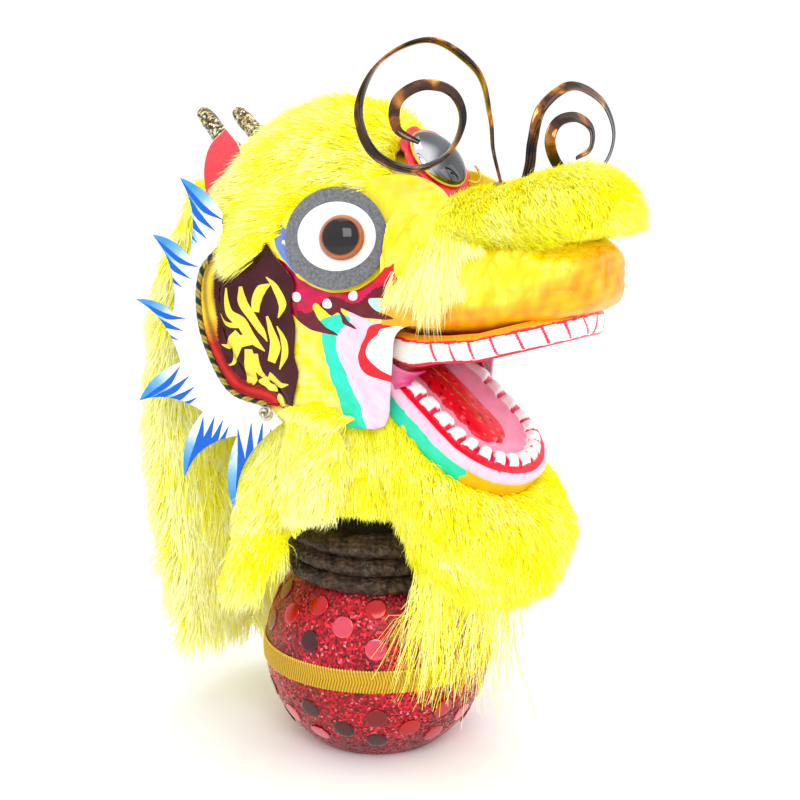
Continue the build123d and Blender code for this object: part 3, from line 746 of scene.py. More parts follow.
FIN_STROKES = [
    ([(0.96, 0.0), (0.62, 0.20), (0.34, 0.42), (0.08, 0.86)], [0.25, 1.2, 1.5, 0.15]),
    ([(0.90, -0.10), (0.60, -0.02), (0.30, 0.10), (-0.02, 0.42)], [0.3, 1.3, 1.6, 0.15]),
    ([(0.84, -0.22), (0.52, -0.26), (0.24, -0.22), (-0.06, 0.0)], [0.3, 1.3, 1.5, 0.15]),
    ([(0.74, -0.36), (0.44, -0.50), (0.18, -0.52), (-0.04, -0.40)], [0.2, 1.0, 1.2, 0.15]),
]


def fin_strokes():
    """The outlines of the dark brush strokes on the fin's flames."""
    strokes = []
    for i in range(len(FIN_TIPS)):
        middle, axis, across = fin_axes(i)
        size = np.linalg.norm(axis) / 30
        for line, widths in FIN_STROKES:
            path = np.array([middle + axis * u + across * v for u, v in line])
            strokes.append(stroke_outline(path, np.array(widths) * min(size, 1.25), 0.8))
    return strokes


def fin_paint(s, h, over_s, over_h, strokes):
    """White card with blue flames: each fades in towards its tip and carries darker strokes."""
    colours = np.tile(np.array((0.95, 0.96, 0.98)), (len(s), 1))
    grain = waves(np.stack([s, h, 0 * s], -1), 2.5, 61)
    for i in range(len(FIN_TIPS)):
        middle, axis, across = fin_axes(i)
        u = ((s - middle[0]) * axis[0] + (h - middle[1]) * axis[1]) / (axis @ axis)
        v = ((s - middle[0]) * across[0] + (h - middle[1]) * across[1]) / (across @ across)
        own = (u > -0.35) & (u < 1.08) & (np.abs(v) < 1.4)
        fade = np.clip((u - 0.12 - 0.10 * v) / 0.6, 0, 1)
        pale, deep = np.array((0.42, 0.72, 0.97)), np.array((0.05, 0.30, 0.84))
        wash = (1 - fade[:, None]) * pale + fade[:, None] * deep
        cover = np.clip(fade * 1.7 + 0.08 * grain, 0, 1)[:, None]
        colours = np.where(own[:, None], colours * (1 - cover) + wash * cover, colours)
    for stroke in strokes:
        colours[inside(stroke, over_s, over_h)] = (0.005, 0.12, 0.62)
    return np.clip(colours, 0, 1)


def fin_card(side, name, material):
    """A painted card fin, a little cupped and curling back at its tips."""
    edge = fin_outline()
    strokes = fin_strokes()
    flat, faces = cut_sheet(edge, 0.85, strokes)
    s, h = flat[:, 0], flat[:, 1]
    away = np.clip(np.hypot(s, h) - 32, 0, None)
    out = 0.6 + 0.5 * waves(np.stack([s, h, 0 * s], -1), 30, 71) - 0.0035 * away**2
    points = placed(cheek_frame(side), s, h, out)
    if side > 0:
        faces = faces[:, ::-1]
    colours = fin_paint(*at_corners(flat, faces), strokes)
    piece = make_mesh(name, points, faces, [material], "head", None, colours, domain="CORNER")
    thicken(piece, 1.0, -1.0)
    return piece


def twisted_cord(name, line, radius, pitch, body, material, tones, closed=False, lobes=3):
    """A cord of twisted strands in alternating tones, with painted shade in the grooves between them."""
    p = np.asarray(line, float)
    run = np.concatenate([[0], np.cumsum(np.linalg.norm(np.diff(p, axis=0), axis=1))])
    if closed:
        turns = round((run[-1] + np.linalg.norm(p[0] - p[-1])) / pitch)
        run = run / (run[-1] + np.linalg.norm(p[0] - p[-1])) * turns * pitch
    sides = 16
    turn = lap(sides)
    phase = lobes * turn[None, :] + 2 * math.pi * run[:, None] / pitch
    reach = radius * (0.80 + 0.20 * np.abs(np.cos(phase / 2)))
    which = (np.floor(phase / (2 * math.pi)) % len(tones)).astype(int)
    # painted shade: each strand darkens towards the grooves where it meets the next
    colours = np.asarray(tones, float)[which] * (0.45 + 0.55 * np.abs(np.cos(phase / 2)))[..., None]
    return tube(name, p, reach, body, [material], sides, closed, colours.reshape(-1, 3))


# --- the snout and the upper mouth ---
SNOUT_LOFT = [
    (-34, 37, 198, 256), (-50, 35, 197, 254), (-65, 33.6, 198.5, 250), (-80, 33.2, 201, 246),
    (-92, 32, 204.5, 245), (-104, 28.5, 208, 243), (-112, 24, 210.5, 240), (-118, 17.5, 213.5, 237),
    (-121.5, 9.5, 218, 232), (-122.5, 0.6, 223, 227),
]


def mouth_height(y):
    """The height of the upper jaw's edge."""
    stations = np.array(SNOUT_LOFT)
    return np.interp(-np.asarray(y, float), -stations[:, 0], stations[:, 2])


def snout_mesh(material):
    """The lacquered snout: wrinkled yellow nose over smooth orange lips."""
    rows = smooth_line(SNOUT_LOFT, 0.7)
    sides = 260
    turn = lap(sides)
    power = np.where(np.sin(turn) < 0, 2 / 3.6, 2 / 2.4)
    across = np.sign(np.cos(turn)) * np.abs(np.cos(turn)) ** power
    rise = np.sign(np.sin(turn)) * np.abs(np.sin(turn)) ** power
    middle, half = (rows[:, 2] + rows[:, 3]) / 2, (rows[:, 3] - rows[:, 2]) / 2
    x = rows[:, 1:2] * across
    y = np.repeat(rows[:, :1], sides, axis=1)
    z = middle[:, None] + half[:, None] * rise
    points = np.stack([x, y, z], -1).reshape(-1, 3)
    centre = np.stack([0 * y, np.maximum(y, -106), np.repeat(middle[:, None], sides, axis=1)],
                      -1).reshape(-1, 3)
    out = points - centre
    out /= np.linalg.norm(out, axis=1)[:, None] + 1e-9
    side_x = np.abs(points[:, 0])
    from_nostril = ((points[:, 1] + 95) / 14) ** 2 + ((points[:, 2] - 231) / 8.0) ** 2
    lump = np.exp(-from_nostril) * np.clip(side_x / 20, 0, 1)
    crease = np.exp(-(((points[:, 2] - 220.5 + 0.14 * (points[:, 1] + 96)) / 1.5) ** 2)) * np.clip(
        1.3 - np.abs(points[:, 1] + 97) / 24, 0, 1)
    upper = 1 / (1 + np.exp(-(points[:, 2] - 221) / 2.0))
    lines = np.exp(-((waves(points * np.array((1, 1.1, 0.8)), 17, 81) / 0.20) ** 2))
    lines += 0.7 * np.exp(-((waves(points * np.array((1, 1.2, 0.7)), 9, 82) / 0.22) ** 2))
    folds = waves(points, 12, 86) - 1.1 * lines
    reach = 3.4 * lump - 1.5 * crease + 0.60 * upper * folds + 0.14 * waves(points, 10, 83)
    points = points + out * reach[:, None]
    points[:, 1] = np.maximum(points[:, 1], -126.0)
    low = np.interp(-points[:, 1], -rows[:, 0], rows[:, 2])
    t = np.clip((points[:, 2] - low - 10 - 2.5 * waves(points, 18, 84)) / 9, 0, 1)
    t = t * np.clip((points[:, 1] + 121) / 10, 0.15, 1)
    t = eased(t)[:, None]
    # painted shade and highlight: the yellow deepens in the creases and pales on the folds that stand out
    yellow = np.array((0.98, 0.80, 0.05)) + np.clip(folds, -1, 1)[:, None] * np.array((0.0, 0.10, 0.05))
    uneven = np.clip(waves(points, 7, 85), -1, 1)[:, None]
    orange = np.array((0.97, 0.37, 0.0)) + uneven * np.array((0, 0.09, 0.0))
    colours = np.clip(orange * (1 - t) + yellow * t, 0, 1)
    edge = ((points[:, 2] < low + 0.8) & (low < 211))[:, None]
    colours = np.where(edge, np.array(RED), colours)
    faces = grid_faces(len(rows), sides, wrap=True)
    last = (len(rows) - 1) * sides + np.arange(sides)
    tip = np.array([points[last].mean(0)])
    cap = np.stack([last, np.roll(last, -1), np.full(sides, len(points))], -1)
    points = np.concatenate([points, tip])
    colours = np.concatenate([colours, colours[last[:1]]])
    return make_mesh("snout_skin", points, [faces, cap], [material], "head", None, colours)


def arch_path(half_width, rear, centre_y, step=0.6):
    """Points and inward directions along a horseshoe open to the rear, from the left round to the right."""
    y = np.arange(rear, centre_y, -step)
    left = np.stack([np.full(len(y), half_width), y], -1)
    turn = np.arange(0, math.pi, step / half_width)
    front = np.stack([half_width * np.cos(turn), centre_y - half_width * np.sin(turn)], -1)
    right = np.stack([np.full(len(y), -half_width), y[::-1]], -1)
    points = np.concatenate([left, front, right])
    inward = np.concatenate([
        np.tile((-1.0, 0.0), (len(left), 1)),
        np.stack([-np.cos(turn), np.sin(turn)], -1),
        np.tile((1.0, 0.0), (len(right), 1)),
    ])
    return points, inward


def upper_teeth_mesh(material):
    """The painted card strip of the upper teeth, red above and pink below."""
    path, inward = arch_path(31.6, -29, -81.5, 0.45)
    run = np.concatenate([[0], np.cumsum(np.linalg.norm(np.diff(path, axis=0), axis=1))])
    from_front = np.abs(run - run[-1] / 2)
    profile = [
        (1.4, 2.2), (0.2, 1.0), (-0.4, 0.0), (-0.6, -1.0), (-0.9, -2.4), (-1.1, -4.0), (-1.1, -5.6),
        (-0.9, -7.0), (-0.5, -8.0), (0.1, -8.8), (0.9, -9.4), (2.0, -9.6), (3.4, -9.4), (4.6, -8.6),
        (5.2, -7.0), (5.4, -4.0), (5.4, 1.0),
    ]
    p = smooth_line([(d, h, 0) for d, h in profile], 0.32)[:, :2]
    base = mouth_height(path[:, 1])
    drop = np.interp(path[:, 1], [-60, -44, -34, -29], [1.0, 1.25, 1.1, 0.8])
    d = np.repeat(p[None, :, 0], len(path), axis=0)
    h = p[None, :, 1] * np.where(p[None, :, 1] < 0, drop[:, None], 1)
    slant = from_front[:, None] - 0.45 * h
    marks = np.array([5.5, 15.0, 24.5, 34.5, 45.0, 55.5, 65.5, 75.0])
    gap = np.abs(slant[..., None] - marks).min(-1)
    groove = np.exp(-((gap / 0.8) ** 2))
    d = d + 0.50 * groove * (h < -1) * (h > -8.2)
    points = np.stack([
        path[:, :1] + inward[:, :1] * d,
        path[:, 1:2] + inward[:, 1:2] * d,
        base[:, None] + h,
    ], -1).reshape(-1, 3)
    level = (h / drop[:, None]).reshape(-1)
    depth = d.reshape(-1)
    colours = np.tile(np.array(WHITE), (len(points), 1))
    shade_in = np.clip((from_front - 45) / 40, 0, 1) * 0.8
    cream = np.repeat(shade_in[:, None], len(p), axis=1).reshape(-1, 1)
    colours = colours * (1 - cream) + np.array((0.95, 0.84, 0.76)) * cream
    colours -= np.clip(waves(points, 5, 91), 0, 1)[:, None] * np.array((0.02, 0.05, 0.06))
    line_width = 0.65 + 0.2 * waves(points, 9, 92)
    marked = (gap.reshape(-1) < line_width) & (level > -8.2)
    colours[marked] = (0.80, 0.03, 0.10)
    colours[level > -1.0 + 0.2 * waves(points, 6, 93)] = (0.82, 0.01, 0.06)
    colours[level > 0.0 + 0.2 * waves(points, 6, 95)] = (0.95, 0.36, 0.01)
    colours[(level < -8.3 + 0.2 * waves(points, 6, 94))] = (0.80, 0.01, 0.05)
    colours[(depth > 1.4) & (level < -6)] = (0.92, 0.26, 0.40)
    piece = make_mesh("upper_teeth_strip", points, grid_faces(len(path), len(p)), [material], "head",
                      None, colours)
    return piece


def palate_mesh(material):
    """The dark red roof and back of the mouth, in one curved sheet, darkened towards the back as painted
    shade.
    """
    y = np.concatenate(
        [np.arange(-108.5, -46.5, 1.5), np.array([-45, -43, -41, -39.5, -38.3, -37.4, -36.8, -36.4])])
    z = mouth_height(y) - 0.9
    z[-8:] = np.array([196.2, 195.4, 194.0, 191.8, 189, 186, 183, 180.5])
    half = np.where(y > -81.5, 29.5, np.sqrt(np.maximum(29.5**2 - (y + 81.5) ** 2, 4.0)))
    u = np.linspace(-1, 1, 60)
    points = np.stack([
        half[:, None] * u,
        np.repeat(y[:, None], 60, axis=1),
        z[:, None] - 1.2 * np.abs(u) ** 3 + 0.25 * np.sin(y[:, None] * 0.9) * (1 - u * u),
    ], -1).reshape(-1, 3)
    # painted shade: the red darkens towards the back of the mouth
    back = np.clip((points[:, 1] + 75) / 45, 0, 1)[:, None]
    colours = np.array((0.72, 0.004, 0.01)) * (1 - back) + np.array((0.30, 0.0, 0.012)) * back
    piece = make_mesh("palate_skin", points, grid_faces(len(y), 60), [material], "head", None, colours)
    thicken(piece, 0.8, 1.0)
    return piece


# --- the jaw ---
def jaw_place(x, u, v):
    """Row-frame points from the jaw's own width, reach forward from its hinge and height."""
    forward = np.array([0.0, -math.cos(JAW_PITCH), -math.sin(JAW_PITCH)])
    normal = np.array([0.0, -math.sin(JAW_PITCH), math.cos(JAW_PITCH)])
    return (np.array([0.0, HINGE[1], HINGE[2]]) + x[..., None] * np.array([1.0, 0.0, 0.0])
            + u[..., None] * forward + v[..., None] * normal)


def jaw_mesh(material):
    """The painted lower jaw: teal side, red lip, white teeth, pink gum and red tongue in one skin."""
    path, inward = arch_path(31.0, 2, -45.5, 0.42)
    run = np.concatenate([[0], np.cumsum(np.linalg.norm(np.diff(path, axis=0), axis=1))])
    from_front = np.abs(run - run[-1] / 2)
    profile = [
        (4.0, -13.0), (1.2, -12.4), (0.2, -11.0), (-0.1, -8.5), (-0.4, -6.0), (-0.8, -3.6), (-0.9, -2.0),
        (-0.4, -0.6), (0.6, 0.4), (1.8, 1.0), (3.4, 1.4), (4.2, 1.8), (4.7, 2.8), (5.4, 4.2), (7.0, 5.2),
        (9.0, 5.4), (10.3, 4.8), (11.2, 3.4), (12.6, 2.0), (14.6, 0.8), (17.0, -0.1), (19.8, -0.9),
        (20.6, -0.5), (21.4, 0.5), (23.0, 1.3), (26.0, 1.8), (30.7, 2.0),
    ]
    p = smooth_line([(d, h, 0) for d, h in profile], 0.36)[:, :2]
    d = np.repeat(p[None, :, 0], len(path), axis=0)
    h = np.repeat(p[None, :, 1], len(path), axis=0)
    marks = np.array([4.5, 13.5, 22.5, 31.5, 41.0, 50.5, 60.0, 69.0])
    wave_run = from_front[:, None] + 0.15 * (d - 8)
    gap = np.abs(wave_run[..., None] - marks).min(-1)
    teeth = (d > 4.2) & (d < 11.8) & (h > 1.2)
    notch = np.exp(-((gap / 1.3) ** 2))
    h = np.where(teeth, h - (h - 1.2) * 0.75 * notch, h)
    points_x = path[:, :1] + inward[:, :1] * d
    points_u = -(path[:, 1:2] + inward[:, 1:2] * d)
    rear = np.clip(1 - (points_u - 4) / 16, 0, 1)
    h = h - rear * np.clip(h, 0, None) * 0.85
    points = jaw_place(points_x, points_u, h).reshape(-1, 3)
    points += waves(points, 12, 101)[:, None] * np.array((0.12, 0.12, 0.12))
    depth, level, forward = d.reshape(-1), h.reshape(-1), points_u.reshape(-1)
    spots = np.stack([points_x.reshape(-1), forward, level], -1)
    ragged = waves(spots, 7, 102)
    front = forward > 62 + 2.0 * ragged
    colours = np.tile(np.array((0.96, 0.83, 0.04)), (len(points), 1))
    low = (depth < 3.0) & (level < 0)
    teal = low & (level > -11.0 + 1.4 * ragged) & (level < -3.4 + 0.4 * ragged)
    colours[teal] = TEAL
    colours[low & front & (level < -3.0)] = (0.96, 0.50, 0.01)
    colours[(depth < 1.5 + 0.15 * ragged) & (level > -3.5 + 0.4 * ragged)] = (0.95, 0.56, 0.70)
    red_lip = (depth > 1.5 + 0.15 * ragged) & (depth < 4.6 + 0.2 * ragged)
    colours[red_lip & (level > -1)] = (0.82, 0.004, 0.02)
    white = (depth >= 4.6 + 0.2 * ragged) & (depth < 11.6)
    colours[white] = WHITE
    split_width = 1.0 + 0.35 * waves(spots, 5, 103) + 0.5 * np.clip(7.5 - depth, 0, 3) / 3
    split = white & (gap.reshape(-1) < split_width)
    colours[split & (depth < 10.9 + 0.6 * ragged)] = (0.78, 0.01, 0.07)
    gum = (depth >= 11.6) & (depth < 20.6 + 0.5 * ragged)
    colours[gum] = (0.94, 0.40, 0.58)
    tongue = depth >= 20.6 + 0.5 * ragged
    colours[tongue] = (0.80, 0.006, 0.02)
    # painted highlights: lighter red dashes on the glossy tongue
    tongue_highlight = tongue & (waves(spots * np.array((1, 0.6, 1)), 3.0, 104) > 0.9)
    colours[tongue_highlight] = (0.92, 0.14, 0.14)
    dark = tongue & (waves(spots * np.array((1, 0.6, 1)), 3.4, 105) > 0.95)
    colours[dark] = (0.40, 0.0, 0.01)
    return make_mesh("jaw_skin", points, grid_faces(len(path), len(p)), [material], "jaw", None, colours)


def mouth_fold(side, name, material):
    """The pink folded skin at the mouth's corner, between the upper lip and the jaw."""
    top = smooth_line([(31.5, -33, 188), (31.0, -38, 184.5), (28.5, -44, 182.5), (24.0, -48, 183)], 0.7)
    low = smooth_line([(32.6, -31, 166), (31.6, -34, 172), (29.6, -38.5, 175.5), (26.0, -41.5, 176.5)], 0.7)
    count = 30
    a, b = (along_line(edge, np.linspace(0, 1, count)) for edge in (top, low))
    t = np.linspace(0, 1, 26)[:, None, None]
    points = a[None] * (1 - t) + b[None] * t
    swell = np.sin(math.pi * t[..., 0])
    points[..., 1] += 2.2 * swell + 0.5 * np.sin(np.linspace(0, 9, count))[None, :] * swell
    points[..., 0] -= 1.6 * swell ** 2
    points = points.reshape(-1, 3)
    along = np.tile(np.linspace(0, 1, count), 26)[:, None]
    colours = np.array((0.93, 0.34, 0.56)) * (1 - along) + np.array((0.62, 0.01, 0.16)) * along
    points[:, 0] *= side
    faces = grid_faces(26, count)
    piece = make_mesh(name, points, faces if side < 0 else faces[:, ::-1], [material], "head", None, colours)
    thicken(piece, 0.7, 0.0)
    return piece


# --- eyes ---
def eye(side, felt, card, glass):
    """A felt ring, a white card and a glossy bulging iris."""
    out = (side * EYE_AIM[0], *EYE_AIM[1:])
    low, high = box_of("eye_ring_left" if side > 0 else "eye_ring_right")
    centre = (low + high) / 2
    end = "left" if side > 0 else "right"
    frame_of = frame_at(centre, out, (0, 0, 1))
    ring_profile = [(11, -0.8), (21.2, -0.8), (21.6, -0.2), (21.6, 0.8), (21.2, 1.3), (20.6, 1.45),
                    (14, 1.45), (11, 1.45)]
    ring = revolved(f"felt_ring_{end}", ring_profile, frame_of, "head", [felt], sides=120)
    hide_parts(f"eye_ring_{end}")
    rim = lap(96)
    radii = [(0.0, 0.9), (0.35, 0.9), (0.7, 0.8), (0.93, 0.55), (1.0, 0.3), (1.0, -0.2)]
    shift = -side * 0.4
    s = np.array([[shift + 16.5 * r * math.cos(a) for a in rim] for r, _ in radii])
    h = np.array([[0.6 + 14.5 * r * math.sin(a) for a in rim] for r, _ in radii])
    d = np.repeat(np.array([[1.5 + lift] for _, lift in radii]), 96, axis=1)
    points = placed(frame_of, s, h, d).reshape(-1, 3)
    white = make_mesh(f"white_card_{end}", points, grid_faces(len(radii), 96, wrap=True)[:, ::-1],
                      [card], "head")
    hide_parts(f"eye_white_{end}")
    dome_centre = placed(frame_of, np.array(-side * 3.0), np.array(-0.3), np.array(2.3))
    dome_frame = (dome_centre, *frame_of[1:])
    t = np.linspace(0, 1, 40)
    bulge = [(9.9, -0.6), (10.0, 0.6), (9.75, 1.4), (9.3, 1.5)]
    bulge += [(9.3 * math.cos(a), 1.5 + 5.0 * math.sin(a)) for a in t[1:] * math.pi / 2]
    tints = []
    for r, _ in bulge:
        if r > 9.35:
            tints.append((0.80, 0.66, 0.58))
        elif r > 9.05:
            tints.append((0.30, 0.10, 0.04))
        elif r > 7.9:
            tints.append((0.46, 0.13, 0.04))
        elif r > 7.6:
            tints.append((0.20, 0.05, 0.02))
        else:
            tints.append((0.012, 0.010, 0.010))
    bulge[-1] = (0.001, bulge[-1][1])
    iris = revolved(f"iris_{end}", bulge[::-1], dome_frame, "head", [glass], tints[::-1], sides=96)
    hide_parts(f"eye_dome_{end}")


# --- the ball, its braid and the neck ---
def sequin_fabric(name):
    """Knitted fabric crusted with tiny sequins, each tilted its own way; its colour carries painted glints
    and painted dark reflections.
    """
    material, shader = new_material(name, 0.32, Metallic=0.45, Coat_Weight=0.1, Coat_Roughness=0.1)
    nodes, links = material.node_tree.nodes, material.node_tree.links
    cells = texture(material, "ShaderNodeTexVoronoi", 1000, Randomness=0.85)
    clouds = texture(material, "ShaderNodeTexNoise", 38, Detail=2.0)
    split = nodes.new("ShaderNodeSeparateColor")
    links.new(cells.outputs["Color"], split.inputs["Color"])
    # painted glints: the sequins are all one red, and their tones from near black to pink stand for light
    # caught at each tilt
    painted_glints = ramp(material, split.outputs["Red"], [
        (0.0, (0.07, 0.0, 0.003)), (0.45, (0.30, 0.0, 0.006)), (0.75, (0.62, 0.0, 0.012)),
        (0.94, (0.90, 0.01, 0.05)), (0.985, (0.97, 0.20, 0.26)),
    ])
    # painted dark reflection: cloudy patches darken the cloth
    depth = ramp(material, clouds.outputs["Fac"], [(0.36, (0.45, 0.40, 0.42)), (0.56, (1.0, 1.0, 1.0))])
    multiplied(material, shader, painted_glints, depth, 0.85)
    geometry = nodes.new("ShaderNodeNewGeometry")
    centred = nodes.new("ShaderNodeVectorMath")
    centred.operation = "SUBTRACT"
    centred.inputs[1].default_value = (0.5, 0.5, 0.5)
    links.new(cells.outputs["Color"], centred.inputs[0])
    tilted = nodes.new("ShaderNodeVectorMath")
    tilted.operation = "MULTIPLY_ADD"
    tilted.inputs[1].default_value = (0.75, 0.75, 0.75)
    links.new(centred.outputs["Vector"], tilted.inputs[0])
    links.new(geometry.outputs["Normal"], tilted.inputs[2])
    normal = nodes.new("ShaderNodeVectorMath")
    normal.operation = "NORMALIZE"
    links.new(tilted.outputs["Vector"], normal.inputs[0])
    links.new(normal.outputs["Vector"], shader.inputs["Normal"])
    return material


def paillettes(material):
    """Large flat sequins in staggered columns, a little tilted, in red, maroon, pink and near-black tones
    that are painted reflection.
    """
    disc = [(0.001, 0.36), (1.6, 0.35), (3.2, 0.31), (4.3, 0.22), (4.9, 0.02), (4.9, -0.1)]
    sides = 30
    turn = lap(sides)
    # painted reflection: the discs are one red foil; the near-black, maroon and pink tones stand for what
    # each disc mirrors
    tones = ((0.55, 0.0, 0.004), (0.06, 0.001, 0.004), (0.22, 0.0, 0.006), (0.78, 0.07, 0.12),
             (0.02, 0.003, 0.004))
    points, colours, faces = [], [], []
    for column in range(20):
        azimuth = math.radians(column * 18 + 4)
        for row in range(-3, 4):
            along = row * 16.5 + (8.2 if column % 2 else 0.0) + rng.uniform(-0.8, 0.8)
            lift = along / (BALL_R + 0.2)
            z = BALL_Z + BALL_R * math.sin(lift)
            if z < 9 or z > 76.5 or braid_low[2] - 5.6 < z < braid_high[2] + 5.6:
                continue
            out = np.array(
                [math.cos(azimuth) * math.cos(lift), math.sin(azimuth) * math.cos(lift), math.sin(lift)])
            centre = np.array([0, 0, BALL_Z]) + out * (BALL_R + 0.15)
            frame_of = frame_at(centre, out + rng.normal(0, 0.03, 3), (0, 0, 1))
            s = np.array([r for r, _ in disc])[:, None] * np.cos(turn)
            h = np.array([r for r, _ in disc])[:, None] * np.sin(turn)
            d = np.repeat(np.array([[rise] for _, rise in disc]), sides, axis=1)
            faces.append(grid_faces(len(disc), sides, wrap=True)[:, ::-1] + len(points) * len(disc) * sides)
            points.append(placed(frame_of, s, h, d).reshape(-1, 3))
            tone = np.array(tones[rng.choice(5, p=(0.34, 0.2, 0.22, 0.14, 0.10))])
            colours.append(np.tile(tone, (len(disc) * sides, 1)))
    make_mesh("sequin_paillettes", np.concatenate(points), np.concatenate(faces), [material], "base", None,
              np.concatenate(colours))


def braid(material):
    """The woven gold braid: fine upright ribs, a plaited middle and picot edges."""
    around, up = 1500, 26
    turn = lap(around)[:, None]
    t = np.linspace(-1, 1, up)[None, :]
    inner = BALL_R * np.cos(np.arcsin(np.clip((braid_low[2] - BALL_Z) / BALL_R, -1, 1)))
    half = (braid_high[2] - braid_low[2]) / 2
    rib = np.abs(np.sin(turn * 125))
    picot = np.where(np.abs(t) > 0.82, 0.55 * rib, 0.0)
    chevron = np.abs(np.sin((turn * 125 + np.abs(t) * 3.2)))
    z = braid_low[2] + half + t * (half + picot * np.sign(np.abs(t)))
    on_ball = np.sqrt(np.maximum(BALL_R**2 - (z - BALL_Z) ** 2, inner**2 * 0.8))
    radius = on_ball + 0.65 + 0.30 * chevron - 0.55 * (np.abs(t) > 0.97)
    points = np.stack([radius * np.cos(turn), radius * np.sin(turn), z + 0 * turn], -1).reshape(-1, 3)
    # painted shade: the gold darkens in the grooves between the chevron ribs and is brightest on their crests
    painted_groove_shade = np.clip(0.25 + 0.75 * chevron, 0, 1)[..., None] * np.ones((around, up, 1))
    edge = (np.abs(t) > 0.86)[..., None]
    gold = np.where(edge, np.array((0.96, 0.70, 0.10)), np.array((0.80, 0.48, 0.03)))
    colours = (gold * painted_groove_shade).reshape(-1, 3)
    faces = grid_faces(up, around, wrap=True)
    points = points.reshape(around, up, 3).transpose(1, 0, 2).reshape(-1, 3)
    colours = colours.reshape(around, up, 3).transpose(1, 0, 2).reshape(-1, 3)
    piece = make_mesh("gold_braid", points, faces, [material], "base", None, colours)
    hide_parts("braid_band")


def wrap(material):
    """The brown plush neck: three fat rolls, pinched and lumpy."""
    around, up = 560, 170
    turn = lap(around)[None, :]
    z = np.linspace(wrap_low[2] + 0.4, wrap_high[2] - 0.4, up)[:, None]
    share = (z - wrap_low[2]) / (wrap_high[2] - wrap_low[2])
    rolls = np.abs(np.sin(math.pi * 3 * share + 0.25 * np.sin(turn * 2)))
    radius = 37.2 + 5.2 * rolls**0.6 - 1.6 * np.clip(share - 0.8, 0, 1) / 0.2
    points = np.stack([radius * np.cos(turn), radius * np.sin(turn), z + 0 * turn], -1).reshape(-1, 3)
    lumps = 0.5 * waves(points * np.array((1, 1, 1.8)), 9, 111) + 0.35 * waves(points, 3.2, 112)
    lumps += 0.22 * waves(points, 1.7, 113)
    reach = 1 + lumps / np.linalg.norm(points[:, :2], axis=1)
    points[:, :2] *= reach[:, None]
    closing = np.stack([24 * np.cos(turn), 24 * np.sin(turn), 0 * turn + wrap_high[2] - 1.5],
                       -1).reshape(-1, 3)
    points = np.concatenate([points, closing])
    tone = np.clip(0.5 + 0.5 * waves(points, 4.5, 114), 0, 1)[:, None]
    colours = np.array((0.016, 0.008, 0.005)) * (1 - tone) + np.array((0.10, 0.055, 0.03)) * tone
    faces = grid_faces(up + 1, around, wrap=True)
    piece = make_mesh("neck_plush", points, faces, [material], "base", None, colours)
    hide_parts("neck_wrap")


# --- antennae, mirror, ears and horns ---
RIBBON_LINE = [
    (0, 0), (3.5, 14), (5, 28), (11, 48), (31, 61), (53, 52), (63, 32), (57, 13), (40, 5.5), (24, 12),
    (17, 27), (22, 39), (35, 42), (46, 35), (46, 23), (36, 17),
]


def antenna(name, body, root, away, across, size, tilts, material):
    """A curled foil ribbon that tilts as it winds in; size is the scale of its width and height."""
    flat = smooth_line([(a * size[0], b * size[1], 0) for a, b in RIBBON_LINE], 0.5)[:, :2]
    flat[0, 1] -= 6
    away, across = np.array((*away, 0.0)), np.array((*across, 0.0))
    centre = np.asarray(root, float) + flat[:, :1] * away + flat[:, 1:] * np.array((0.0, 0.0, 1.0))
    ahead = np.gradient(flat, axis=0)
    ahead /= np.linalg.norm(ahead, axis=1)[:, None]
    outward = ahead[:, 1:] * away - ahead[:, :1] * np.array((0.0, 0.0, 1.0))
    t = np.linspace(0, 1, len(flat))
    tilt = np.radians(np.interp(t, np.linspace(0, 1, len(tilts)), tilts))[:, None]
    width = np.cos(tilt) * across + np.sin(tilt) * outward
    half = 2.3 * (1 - 0.55 * np.clip((t - 0.93) / 0.07, 0, 1))[:, None, None]
    u = np.linspace(-1, 1, 9)
    face = np.cross(width, ahead[:, :1] * away + ahead[:, 1:] * np.array((0.0, 0.0, 1.0)))
    hollow = face[:, None] * 0.35 * (u**2)[None, :, None]
    points = centre[:, None] + width[:, None] * half * u[None, :, None] + hollow
    piece = make_mesh(name, points.reshape(-1, 3), grid_faces(len(flat), 9), [material], body)
    thicken(piece, 0.45, 0.0)
    return piece


def bronze_film(name):
    """Brown see-through foil, its own brown banded with near-black and orange as painted reflection."""
    material, shader = new_material(name, 0.12, Metallic=0.85, Coat_Weight=0.5, Coat_Roughness=0.05)
    bands = texture(material, "ShaderNodeTexNoise", 55, Detail=3.0, Distortion=1.2)
    # painted reflection: the near-black and orange bands stand for dark and bright places mirrored in the
    # brown foil
    colour_by(material, shader, bands.outputs["Fac"], [
        (0.38, (0.010, 0.005, 0.004)), (0.50, (0.07, 0.025, 0.01)), (0.58, (0.34, 0.11, 0.015)),
        (0.70, (0.85, 0.42, 0.06)),
    ])
    link_bump(material, shader, bands.outputs["Fac"], 0.15, 0.001)
    return material


def painted_reflection_mirror(name):
    """Mirror glass whose colour holds a painted reflection: a dark room with one bright patch."""
    material, shader = new_material(name, 0.06, Metallic=1.0)
    clouds = texture(material, "ShaderNodeTexNoise", 34, Detail=1.5)
    # painted reflection: near-black blotches and one pale patch stand for the room the mirror would show
    colour_by(material, shader, clouds.outputs["Fac"],
              [(0.44, (0.02, 0.02, 0.022)), (0.56, (0.16, 0.17, 0.18)), (0.66, (0.75, 0.76, 0.78))])
    return material


